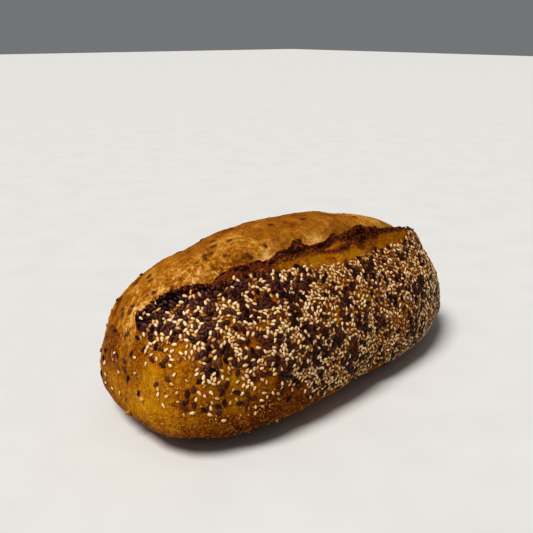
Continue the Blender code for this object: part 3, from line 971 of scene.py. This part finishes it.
def throw_darts(centres, spacing, limit):
    """Keep places in their order, each unless an earlier one is nearer than its spacing."""
    box = spacing.max()
    cells, kept = {}, []
    for i, (x, y, z) in enumerate(centres.tolist()):
        a, b, c = math.floor(x / box), math.floor(y / box), math.floor(z / box)
        nearest = min(((x - u) ** 2 + (y - v) ** 2 + (z - w) ** 2
                       for k in (-1, 0, 1) for l in (-1, 0, 1) for m in (-1, 0, 1)
                       for u, v, w in cells.get((a + k, b + l, c + m), ())), default=1.0)
        if nearest > spacing[i] ** 2:
            cells.setdefault((a, b, c), []).append((x, y, z))
            kept.append(i)
            if len(kept) == limit:
                break
    return np.array(kept)


def close_pairs(centres):
    """Give all pairs of seeds that may touch, each pair both ways round."""
    tree = point_tree(centres)
    found = [(i, j) for i, centre in enumerate(centres)
             for _, j, _ in tree.find_range(centre, SEED_NEAR) if j != i]
    return np.array(found).T


class Bed:
    """The crust that the seeds lie on, from which a seed's place and normal are found again."""

    def __init__(self, surface):
        self.points = surface.points.reshape(-1, 3)
        normals = surface.normals
        for _ in range(2):
            normals = sum(np.roll(normals, k, axis=1) for k in (-1, 0, 1))
            normals = normals + np.concatenate([normals[:1], normals[:-1]])
            normals = normals + np.concatenate([normals[1:], normals[-1:]])
        self.normals = unit(normals).reshape(-1, 3)
        self.tree = point_tree(self.points)

    def settle(self, centres):
        """Give the places on the crust below the seeds, and the crust's normals there."""
        nearest = np.array([self.tree.find(centre)[1] for centre in centres])
        normals = self.normals[nearest]
        height = ((centres - self.points[nearest]) * normals).sum(axis=1, keepdims=True)
        return centres - normals * height, normals


def overlaps(centres, directions, sizes, pairs):
    """Work out how deep the seeds of each pair overlap, with each seed as three discs in a row."""
    reach = (sizes[:, 0] - sizes[:, 1]) / 2
    radius = sizes[:, 1] / 2 * SEED_SNUG
    offsets = directions[:, None] * (reach[:, None] * [-1, 0, 1])[..., None]
    discs = centres[:, None] + offsets
    first, second = pairs
    apart = discs[first][:, :, None] - discs[second][:, None]
    distance = np.maximum(np.linalg.norm(apart, axis=-1), 1e-9)
    depth = np.clip((radius[first] + radius[second])[:, None, None] - distance, 0, None)
    return offsets, apart / distance[..., None] * depth[..., None], depth


def settle_seeds(bed, centres, directions, sizes, give):
    """Shift and turn the seeds on the crust, each as far as it gives, until they overlap little."""
    centres, normals = bed.settle(centres)
    for turn in range(SETTLE_ROUNDS):
        if turn % SETTLE_PAIRS_EVERY == 0:
            pairs = close_pairs(centres)
        offsets, push, _ = overlaps(centres, directions, sizes, pairs)
        push = push.sum(axis=2)
        shift, spin = np.zeros_like(centres), np.zeros(len(centres))
        np.add.at(shift, pairs[0], push.sum(axis=1))
        twist = (np.cross(offsets[pairs[0]], push).sum(axis=1) * normals[pairs[0]]).sum(axis=1)
        np.add.at(spin, pairs[0], twist)
        spin = np.clip(spin / sizes[:, 0] ** 2 * 3, -SETTLE_TURN, SETTLE_TURN) * give
        shift = shift * SETTLE_GIVE * give[:, None]
        length = np.linalg.norm(shift, axis=1, keepdims=True)
        shift *= np.minimum(1, SETTLE_SHIFT / np.maximum(length, 1e-9))
        centres, normals = bed.settle(centres + shift)
        directions = directions + np.cross(normals, directions) * spin[:, None]
        directions = unit(directions - normals * (directions * normals).sum(axis=1, keepdims=True))
    return centres, normals, directions


def seed_lifts(centres, directions, sizes):
    """Give how far each seed is lifted because it lies partly over an earlier one."""
    pairs = close_pairs(centres)
    depth = overlaps(centres, directions, sizes, pairs)[2].max(axis=(1, 2))
    later = pairs[0] > pairs[1]
    lifts = np.zeros(len(centres))
    np.maximum.at(lifts, pairs[0][later], depth[later])
    return np.clip(lifts * LIFT_GAIN - LIFT_FREE, 0, LIFT_LIMIT)


def nearest_points(surface, places):
    """Give the crust's grid points nearest to places on it: (place along X in mm, angle in degrees)."""
    found = []
    for place, angle in places:
        along = surface.place - place * MM
        around = (surface.angle - math.radians(angle)) * AROUND_REACH
        found.append(np.argmin(np.hypot(along, around)))
    return np.array(found)


def read_points(surface, chosen):
    """Give the places and normals of chosen grid points."""
    return [values.reshape(-1, 3)[chosen] for values in (surface.points, surface.normals)]


def choose_places(surface, chooser):
    """Choose the seeds' places: the lone ones first, then others that keep their spacing."""
    cover = seed_cover(surface)
    blend = sample_surface(surface, chooser, cover, SEED_TRIES)
    lone = nearest_points(surface, LONE_SESAME + LONE_FLAX)
    centres = np.vstack([read_points(surface, lone)[0], blend(surface.points)])
    spacing = SEED_SPACING / np.sqrt(np.maximum(blend(cover), THINNEST))
    spacing = np.concatenate([np.full(len(lone), LONE_SPACING), spacing])
    kept = throw_darts(centres, spacing, SEED_LIMIT)
    known = [np.concatenate([values.ravel()[lone], blend(values)])[kept]
             for values in (surface.place, surface.angle, surface.from_ear)]
    return kept, centres[kept], known


def flax_chances(centres, place, angle, from_ear):
    """Give the chance that each chosen place takes a flax seed."""
    chance = stepped(FLAX_TREND, place) + FLAX_MOTTLE * relief(centres, *NOISES["flax"])
    by_lip = (1 - smooth_step(*FLAX_BY_LIP, from_ear)) * (1 - smooth_step(*FLAX_BY_LIP_END, place))
    near_side = angle > math.pi / 2
    chance += near_side * (PATCH_FLAX * patch_weight(place, angle, FLAX_PATCHES) + LIP_FLAX * by_lip)
    return np.clip(chance, *FLAX_CHANCES)


def seed_tones(chooser, place, from_ear, lone, is_flax):
    """Give how dark each seed is: darker along the loaf and for sesame by the lip, and paler alone, as a
    painted highlight.
    """
    toast = TOAST_SPREAD * chooser.normal(size=len(place)) + stepped(TOAST_TREND, place)
    by_lip = (1 - smooth_step(0, LIP_TOAST_REACH, from_ear)) * (from_ear > -1 * MM)
    toast += LIP_TOAST * by_lip * ~is_flax
    toast -= LONE_PAINTED_HIGHLIGHT * lone * ~is_flax * (from_ear > LIP_TOAST_REACH)
    return np.clip(toast, 0, 1)


def scatter_seeds(surface):
    """Lay the seeds on the crust, flat, in all directions, here and there over each other."""
    chooser = np.random.default_rng(RANDOM_START)
    kept, centres, (place, angle, from_ear) = choose_places(surface, chooser)
    count, lone = len(kept), kept < len(LONE_SESAME + LONE_FLAX)
    is_flax = chooser.random(count) < flax_chances(centres, place, angle, from_ear)
    is_flax = np.where(lone, kept >= len(LONE_SESAME), is_flax)
    sizes = np.where(is_flax[:, None], FLAX_SIZE, SESAME_SIZE)
    sizes = sizes * chooser.normal(1, SIZE_SPREAD, (count, 1)) * chooser.normal(1, SHAPE_SPREAD, (count, 3))
    sizes = sizes * stepped(FAR_SEEDS, place)[:, None]
    bed = Bed(surface)
    centres, normals = bed.settle(centres)
    directions = unit(np.cross(normals, chooser.normal(size=(count, 3))))
    give = np.where(chooser.random(count) < STUCK_SHARE, STUCK_GIVE, 1.0)
    centres, normals, directions = settle_seeds(bed, centres, directions, sizes, give)
    lifts = seed_lifts(centres, directions, sizes)
    toast = seed_tones(chooser, place, from_ear, lone, is_flax)
    seeds = (centres, directions, normals, sizes, toast, lifts)
    return [[values[which] for values in seeds] for which in (~is_flax, is_flax)]


def baked_in_seeds(surface):
    """Give the flax seeds that are baked into the open crust, few and deep."""
    chooser = np.random.default_rng(RANDOM_START + 5)
    from_lip, from_tear = BAKED_IN_MARGINS
    weight = (surface.open > 0.9) * (surface.from_ear < -from_lip) * (surface.from_tear > from_tear)
    weight = weight * (np.sin(surface.angle) > 0.2) * (surface.place > BAKED_IN_START)
    blend = sample_surface(surface, chooser, weight.astype(float), BAKED_IN_COUNT)
    chosen = read_points(surface, nearest_points(surface, BAKED_IN_PLACES))
    centres, normals = (np.vstack([blend(values), known])
                        for values, known in zip((surface.points, surface.normals), chosen))
    count = len(centres)
    directions = unit(np.cross(normals, chooser.normal(size=(count, 3))))
    sizes = np.array(FLAX_SIZE) * chooser.normal(*BAKED_IN_SIZE, (count, 1))
    return centres, directions, unit(normals), sizes, np.full(count, BAKED_IN_TONE), np.zeros(count)


# ---- the seeds' meshes
SESAME_MESH = (7, 4)  # points round a seed, and rings between its two tips
FLAX_MESH = (8, 5)
SESAME_FORM = (0.42, 0.24)  # how pointed its tip is, and how far its belly lies from the tip
FLAX_FORM = (0.34, 0.12)
SESAME_SINK = 0.20  # share of a seed's thickness that lies in the crust
FLAX_SINK = 0.18
BAKED_IN_SINK = 0.52
RIM_POWER = 1.25  # rounding of a seed's rim and of its length
GIRTH_POWER = 0.9
SEED_TOAST_AND_SHADE = 0.36  # how much darker a seed is at its rim and tip: partly toasted edges, partly painted shade
TIP_TOAST_AND_SHADE = (0.8, 1.6)
SEED_TILT = 0.10
LIFT_TILT = 180  # further tilt for each metre of lift


def seed_template(form, fineness):
    """Make one seed of size 1 along X, blunt at one end and pointed at the other, and its darkening at rim
    and tip, partly toasting and partly painted shade.
    """
    (tip, belly), (round_count, ring_count) = form, fineness
    around = np.arange(round_count) * 2 * math.pi / round_count
    rim = np.sign(np.sin(around)) * np.abs(np.sin(around)) ** RIM_POWER
    rings, shade = [], []
    for polar in np.linspace(0, math.pi, ring_count + 2)[1:-1]:
        along = -math.cos(polar)
        pointed = max(0.0, along)
        girth = math.sin(polar) ** GIRTH_POWER * (1 - belly * along) * (1 - tip * pointed ** 2)
        rings.append(np.stack([np.full(round_count, along), girth * np.cos(around), girth * rim], axis=-1))
        shade.append(np.abs(np.cos(around)) ** 3 + pointed ** 3)
    points = np.vstack(rings + [[[-1.0, 0, 0]], [[1.0, 0, 0]]]) / 2
    faces = [face[::-1] for face in tube_faces(ring_count, round_count)]
    return points, np.concatenate(shade + [TIP_TOAST_AND_SHADE]), faces


def repeated_faces(faces, step, count):
    """Give one shape's faces for each of its copies, which follow each other by a step."""
    return [tuple(v + step * number for v in face) for number in range(count) for face in faces]


def make_seeds(name, seeds, template, sink, material, chooser):
    """Join all seeds of one kind into one mesh, each with its own tilt and tone."""
    shape, shade, faces = template
    centre, along, normal, size, tone, lift = seeds
    count = len(centre)
    tilt = chooser.normal(0, 1, (count, 2)) * (SEED_TILT + LIFT_TILT * lift[:, None])
    up = unit(normal + along * tilt[:, :1] + np.cross(normal, along) * tilt[:, 1:])
    side = unit(np.cross(up, along))
    axes = np.stack([np.cross(side, up), side, up], axis=1) * size[:, :, None]
    middle = centre + normal * (size[:, 2:] * (0.5 - sink) + lift[:, None])
    points = middle[:, None] + np.einsum("vk,nkx->nvx", shape, axes)
    tones = np.clip(tone[:, None] + SEED_TOAST_AND_SHADE * (shade - 0.5), 0, 1)
    all_faces = repeated_faces(faces, len(shape), count)
    make_piece(name, points, all_faces, {"tone": tones}, material)


# ---- crumbs
CRUMB_RINGS = 5
CRUMB_ROUND = 8
CRUMB_COUNT = 120
CRUMB_SIZES = (0.5, 1.3)  # in mm
CRUMB_HEIGHT = (5 * MM, 3.5 * MM)  # middle and half width of the belt where they cling
CRUMB_LOWEST = 1.2 * MM
GRAIN_COUNT = 170
GRAIN_SIZES = (0.4, 0.95)
GRAIN_PATCHES = (  # where grains of dough lie on the blunt end: (place in mm, angle, radius in mm)
    (-124.5, 124, 6), (-123, 136, 5), (-112, 177, 7), (-97, 179, 6), (-120, 184, 5), (-120, 131, 6),
    (-104, 174, 6), (-121, 146, 6), (-80, 180, 7), (-117, 122, 6),
)
LARGE_CRUMBS = (  # (place along X in mm, angle in degrees, size in mm)
    (-126.3, 150, 2.6), (-70, 205, 2.2), (-75, 206, 1.4), (-124, 190, 1.6), (-126.5, 296, 3.2),
    (-126.2, 284, 2.2), (-125.7, 277, 1.5),
)
CRUMB_STRETCH = (0.6, 1.1)
CRUMB_UNEVEN = 0.30
CRUMB_PROUD = 0.22  # share of its size by which a crumb's middle stands off the crust
CRUMB_TONES = (0.05, 0.38)
CRUMB_FINISH = {"char": 0.0, "open": 0.8, "specks": 0.0, "curl": 0.6}


def crumb_spots(surface, chooser):
    """Choose where the crumbs and grains lie: (place, normal, size)."""
    level, place = surface.points[..., 2], surface.place
    belt = bell(level, *CRUMB_HEIGHT) * (level > CRUMB_LOWEST)
    belt = belt * (1 + 4 * smooth_step(-0.095, -0.115, place))
    grains = patch_weight(place, surface.angle, GRAIN_PATCHES)
    spots = []
    for draw in ((belt, CRUMB_COUNT, CRUMB_SIZES), (grains, GRAIN_COUNT, GRAIN_SIZES)):
        weight, count, sizes = draw
        blend = sample_surface(surface, chooser, weight, count)
        spots += [(point, normal, chooser.uniform(*sizes) * MM)
                  for point, normal in zip(blend(surface.points), blend(surface.normals))]
    chosen = nearest_points(surface, [crumb[:2] for crumb in LARGE_CRUMBS])
    large = [crumb[2] * MM for crumb in LARGE_CRUMBS]
    return spots + list(zip(*read_points(surface, chosen), large))


def round_ball():
    """Make the points of a ball of radius 1, in rings and with two tips."""
    around = np.arange(CRUMB_ROUND) * 2 * math.pi / CRUMB_ROUND
    polar = np.linspace(0, math.pi, CRUMB_RINGS + 2)[1:-1, None]
    ball = np.stack(np.broadcast_arrays(np.cos(polar), np.sin(polar) * np.cos(around),
                                        np.sin(polar) * np.sin(around)), axis=-1)
    return np.vstack([ball.reshape(-1, 3), [[1, 0, 0]], [[-1, 0, 0]]])


def make_crumbs(surface, material):
    """Make the crumbs that cling along the loaf's lower edge, as one mesh of uneven lumps."""
    chooser = np.random.default_rng(RANDOM_START + 7)
    spots = crumb_spots(surface, chooser)
    ball = round_ball()
    points = []
    for number, (centre, normal, size) in enumerate(spots):
        lump = ball * (chooser.uniform(*CRUMB_STRETCH, 3) * size / 2)
        lump = lump * (1 + CRUMB_UNEVEN * relief(ball + number * 3.7, 0.9)[:, None])
        turn = Vector(chooser.normal(size=3)).normalized().to_track_quat("X", "Z").to_matrix()
        lump = lump @ np.array(turn).T + centre + normal * size * CRUMB_PROUD
        lump[:, 2] = np.maximum(lump[:, 2], 0.1 * MM)
        points.append(lump)
    finish = {key: np.full(len(spots) * len(ball), value) for key, value in CRUMB_FINISH.items()}
    finish["tone"] = np.repeat(chooser.uniform(*CRUMB_TONES, len(spots)), len(ball))
    faces = repeated_faces(tube_faces(CRUMB_RINGS, CRUMB_ROUND), len(ball), len(spots))
    make_piece("crumbs", np.vstack(points), faces, finish, material)


# ---- materials
SKIN_STOPS = (  # (place from 0 to 1, colour), golden to dark brown
    (0.00, (0.68, 0.38, 0.018)), (0.25, (0.50, 0.228, 0.004)), (0.50, (0.30, 0.104, 0.002)),
    (0.75, (0.142, 0.030, 0.001)), (1.00, (0.045, 0.007, 0.001)),
)
OPEN_STOPS = (  # cream to brown
    (0.00, (0.78, 0.52, 0.22)), (0.25, (0.54, 0.265, 0.048)), (0.50, (0.35, 0.132, 0.010)),
    (0.80, (0.20, 0.060, 0.004)), (1.00, (0.09, 0.026, 0.003)),
)
SCORCH_STOPS = (  # red-brown crust on the lip's face
    (0.38, (0.050, 0.008, 0.002)), (0.50, (0.160, 0.032, 0.003)), (0.64, (0.400, 0.140, 0.024)),
)
CHAR_STOPS = ((0.38, (0.007, 0.003, 0.002)), (0.62, (0.180, 0.044, 0.016)))  # its blackened rim
SPECK_COLOUR = (0.64, 0.27, 0.012)
BLOT_COLOUR = (0.58, 0.30, 0.050)
SHINE_COLOUR = (1.0, 0.72, 0.40)
SESAME_STOPS = (
    (0.00, (0.84, 0.64, 0.38)), (0.35, (0.72, 0.47, 0.200)), (0.65, (0.47, 0.230, 0.070)),
    (1.00, (0.20, 0.060, 0.010)),
)
FLAX_STOPS = (
    (0.00, (0.095, 0.031, 0.021)), (0.35, (0.050, 0.0125, 0.0085)), (0.70, (0.019, 0.0042, 0.0025)),
    (1.00, (0.005, 0.002, 0.002)),
)
BAKED_IN_STOPS = ((0.00, (0.110, 0.042, 0.016)), (1.00, (0.030, 0.012, 0.006)))
FLOOR_STOPS = ((0.3, (0.66, 0.65, 0.63)), (0.7, (0.69, 0.68, 0.66)))
DOT_SHARPNESS = 9.0


class Look:
    """A material, and short ways to add nodes to it."""

    def __init__(self, name, roughness, specular):
        self.material = bpy.data.materials.new(name)
        self.material.use_nodes = True
        self.tree = self.material.node_tree
        self.shader = self.tree.nodes["Principled BSDF"].inputs
        self.feed(self.shader["Roughness"], roughness)
        self.feed(self.shader["Specular IOR Level"], specular)
        self.where = self.node("TexCoord").outputs["Object"]

    def feed(self, socket, value):
        """Give a socket another node's output, a colour or a number."""
        if isinstance(value, bpy.types.NodeSocket):
            self.tree.links.new(value, socket)
        elif isinstance(value, tuple):
            socket.default_value = (*value, 1.0)
        else:
            socket.default_value = value

    def node(self, kind, inputs=(), **settings):
        """Add a node with its settings, and feed its inputs: (name or number, value)."""
        node = self.tree.nodes.new("ShaderNode" + kind)
        for name, value in settings.items():
            setattr(node, name, value)
        for socket, value in inputs:
            self.feed(node.inputs[socket], value)
        return node

    def stored(self, name):
        """Read a number stored on the mesh."""
        return self.node("Attribute", attribute_name=name).outputs["Fac"]

    def noise(self, size, detail, roughness=0.55, distortion=0.0):
        """Make noise with spots of a size in metres, from 0 to 1."""
        inputs = (("Vector", self.where), ("Scale", 1 / size), ("Detail", detail),
                  ("Roughness", roughness), ("Distortion", distortion))
        return self.node("TexNoise", inputs).outputs["Fac"]

    def dots(self, size, radius):
        """Make round dots, one in most cells of a size in metres: 1 in a dot and 0 outside."""
        cells = self.node("TexVoronoi", (("Vector", self.where), ("Scale", 1 / size)))
        edge = self.work("SUBTRACT", radius, cells.outputs["Distance"])
        return self.work("MULTIPLY", edge, DOT_SHARPNESS, clamp=True)

    def work(self, operation, first, second, clamp=False):
        """Work out one number from two, each a number or another node's output."""
        node = self.node("Math", ((0, first), (1, second)), operation=operation, use_clamp=clamp)
        return node.outputs["Value"]

    def product(self, *values):
        """Multiply numbers or outputs."""
        total = values[0]
        for value in values[1:]:
            total = self.work("MULTIPLY", total, value)
        return total

    def weighted(self, *terms, start=0.0, clamp=True):
        """Add up a start value and pairs of a node's output and its weight."""
        total = start
        for output, weight in terms:
            node = self.node("Math", ((0, output), (1, weight), (2, total)), operation="MULTIPLY_ADD")
            total = node.outputs["Value"]
        node.use_clamp = clamp
        return total

    def ramp(self, value, stops):
        """Turn a number into a colour, through stops of (place, (r, g, b))."""
        node = self.node("ValToRGB", (("Fac", value),))
        elements = node.color_ramp.elements
        while len(elements) < len(stops):
            elements.new(0.5)
        for element, (place, colour) in zip(elements, stops):
            element.position = place
            element.color = (*colour, 1.0)
        return node.outputs["Color"]

    def mix(self, share, first, second):
        """Mix two colours."""
        return self.node("Mix", ((0, share), (6, first), (7, second)), data_type="RGBA").outputs[2]

    def bump(self, height, depth, strength):
        """Raise the surface by a height times a depth in metres."""
        node = self.node("Bump", (("Strength", strength), ("Distance", depth), ("Height", height)))
        self.feed(self.shader["Normal"], node.outputs["Normal"])


def skin_colour(look, tone, specks, dots, mottle, fine, grain):
    """Give the skin's colour: mottled gold to dark brown, with pale specks and blots."""
    clouds = look.noise(3.4 * MM, 3, 0.6, 0.8)
    blots = look.dots(3.6 * MM, 0.34)
    tone = look.weighted(
        (tone, 1.0), (mottle, 0.55), (clouds, 0.60), (fine, 0.45), (grain, 0.50), start=-1.05)
    patchy = look.weighted((mottle, 2.4), (grain, 1.2), start=-1.1)
    colour = look.mix(look.product(dots, patchy, specks, 0.9), look.ramp(tone, SKIN_STOPS), SPECK_COLOUR)
    return look.mix(look.product(blots, specks, 0.35), colour, BLOT_COLOUR)


def open_colour(look, tone, curl, flecks, mottle, grain):
    """Give the open crust's colour: cream to brown, in torn flecks."""
    curls = look.product(look.work("SUBTRACT", flecks, 0.5), curl)
    tone = look.weighted((tone, 1.0), (curls, 1.5), (mottle, 0.70), (grain, 0.55), start=-0.605)
    return look.ramp(tone, OPEN_STOPS)


def burnt_colour(look, colour, burnt, mottle, fine, grain):
    """Lay red-brown scorch over a colour, and black char over that."""
    scorched = look.weighted((burnt, 2.2), (fine, 1.6), (grain, 2.0), (mottle, 0.6), start=-2.60)
    colour = look.mix(scorched, colour, look.ramp(grain, SCORCH_STOPS))
    charred = look.weighted((burnt, 5.4), (fine, 2.8), (grain, 2.2), (mottle, 2.0), start=-7.75)
    rim = look.weighted((fine, 1.5), (mottle, 0.9), (burnt, -1.0), start=0.28)
    return look.mix(charred, colour, look.ramp(rim, CHAR_STOPS))


def crust_material():
    """Make the crust: browned skin, open crust and char, mixed by what each vertex stores."""
    look = Look("crust", 0.5, 0.03)
    look.feed(look.shader["IOR"], 1.4)
    look.feed(look.shader["Specular Tint"], SHINE_COLOUR)
    tone, burnt, opened, specks, curl = (look.stored(name) for name in FINISH)
    mottle = look.noise(7 * MM, 4, 0.6)
    fine = look.noise(1.6 * MM, 3, 0.65)
    flecks = look.noise(2.5 * MM, 3, 0.60, 0.45)
    grain = look.noise(1.1 * MM, 2, 0.6)
    dots = look.dots(1.25 * MM, 0.37)
    skin = skin_colour(look, tone, specks, dots, mottle, fine, grain)
    colour = look.mix(opened, skin, open_colour(look, tone, curl, flecks, mottle, grain))
    look.feed(look.shader["Base Color"], burnt_colour(look, colour, burnt, mottle, fine, grain))
    rough = look.weighted((fine, 0.30), (opened, 0.20), (burnt, 0.10), start=0.36)
    look.feed(look.shader["Roughness"], rough)
    rugged = look.product(look.work("ADD", fine, grain), burnt)
    height = look.weighted((fine, 0.3), (grain, 0.2), (dots, 0.10), (rugged, 0.9), clamp=False)
    height = look.work("ADD", height, look.product(flecks, look.product(opened, 0.7)))
    look.bump(height, 0.5 * MM, 0.8)
    return look.material


def seed_material(name, stops, roughness, specular, spot_size):
    """Make the material of one kind of seed, toned seed by seed."""
    look = Look(name, roughness, specular)
    spots = look.noise(spot_size, 2)
    tone = look.weighted((look.stored("tone"), 1.0), (spots, 0.35), start=-0.175)
    look.feed(look.shader["Base Color"], look.ramp(tone, stops))
    look.feed(look.shader["Roughness"], look.weighted((spots, 0.2), start=roughness - 0.1))
    look.bump(spots, 0.1 * MM, 0.6)
    return look.material


# ---- camera, light and floor
CAMERA_PLACE = (-0.2709, -0.2631, 0.205)
CAMERA_HEADING = 47.0  # degrees from +X, anticlockwise from above
CAMERA_PITCH = 20.2  # degrees down
CAMERA_ROLL = -0.27
CAMERA_LENS = 43.0
CAMERA_SENSOR = 36.0  # mm wide
CAMERA_NEAR = 0.01
SUN_FROM = (-0.45, -0.02, 0.89)
SUN_POWER = 3.0
SUN_SPREAD = 24.0  # degrees
SUN_COLOUR = (1.0, 0.985, 0.96)
WORLD_POWER = 0.18
WORLD_COLOUR = (0.96, 0.98, 1.0, 1.0)
FLOOR_REACH = 6.0
FLOOR_DROP = 0.1 * MM


def make_camera():
    """Stand the camera where the photo was taken from."""
    heading, pitch, roll = (math.radians(v) for v in (CAMERA_HEADING, CAMERA_PITCH, CAMERA_ROLL))
    ahead = Vector((math.cos(heading), math.sin(heading), 0))
    look = ahead * math.cos(pitch) - Vector((0, 0, math.sin(pitch)))
    right = Vector((math.sin(heading), -math.cos(heading), 0))
    down = look.cross(right)
    turned_right = right * math.cos(roll) + down * math.sin(roll)
    turned_down = down * math.cos(roll) - right * math.sin(roll)
    data = bpy.data.cameras.new("camera")
    data.sensor_width = CAMERA_SENSOR
    data.lens = CAMERA_LENS
    data.clip_start = CAMERA_NEAR
    camera = add_object("camera", data)
    axes = Matrix((turned_right, -turned_down, -look)).transposed().to_4x4()
    camera.matrix_world = Matrix.Translation(CAMERA_PLACE) @ axes
    bpy.context.scene.camera = camera


def make_light():
    """Add a broad soft light and the world's fill."""
    data = bpy.data.lights.new("key", "SUN")
    data.energy = SUN_POWER
    data.angle = math.radians(SUN_SPREAD)
    data.color = SUN_COLOUR
    lamp = add_object("key", data)
    lamp.rotation_mode = "QUATERNION"
    lamp.rotation_quaternion = Vector(SUN_FROM).to_track_quat("Z", "Y")
    world = bpy.data.worlds.new("studio")
    world.use_nodes = True
    background = world.node_tree.nodes["Background"]
    background.inputs["Color"].default_value = WORLD_COLOUR
    background.inputs["Strength"].default_value = WORLD_POWER
    bpy.context.scene.world = world
    bpy.context.scene.view_settings.view_transform = "Standard"
    bpy.context.scene.view_settings.look = "Medium High Contrast"


def make_floor():
    """Add a plain pale floor."""
    mesh = bpy.data.meshes.new("floor")
    corners = [(-FLOOR_REACH, -FLOOR_REACH, 0), (FLOOR_REACH, -FLOOR_REACH, 0),
               (FLOOR_REACH, FLOOR_REACH, 0), (-FLOOR_REACH, FLOOR_REACH, 0)]
    mesh.from_pydata(corners, [], [(0, 1, 2, 3)])
    floor = add_object("floor", mesh)
    floor.location.z = -FLOOR_DROP
    look = Look("floor", 0.8, 0.2)
    look.feed(look.shader["Base Color"], look.ramp(look.noise(40 * MM, 2), FLOOR_STOPS))
    mesh.materials.append(look.material)


# ---- the scene
make_camera()
make_light()
make_floor()
loaf = add_finish(add_relief(loaf_surface()))
sesame, flax = scatter_seeds(loaf)
baked_in = baked_in_seeds(loaf)
add_seed_shade_and_halos(loaf, sesame, flax, baked_in)
crust_look = crust_material()
make_crust(loaf, crust_look)
make_lip(crust_look)
make_crumbs(loaf, crust_look)
sesame_shape, flax_shape = seed_template(SESAME_FORM, SESAME_MESH), seed_template(FLAX_FORM, FLAX_MESH)
sesame_look = seed_material("sesame", SESAME_STOPS, 0.45, 0.22, 1.5 * MM)
flax_look = seed_material("flax", FLAX_STOPS, 0.36, 0.14, 1.2 * MM)
baked_in_look = seed_material("baked_in_flax", BAKED_IN_STOPS, 0.55, 0.15, 1.2 * MM)
tilter = np.random.default_rng(RANDOM_START + 9)
make_seeds("sesame_seeds", sesame, sesame_shape, SESAME_SINK, sesame_look, tilter)
make_seeds("flax_seeds", flax, flax_shape, FLAX_SINK, flax_look, tilter)
make_seeds("baked_in_flax", baked_in, flax_shape, BAKED_IN_SINK, baked_in_look, tilter)
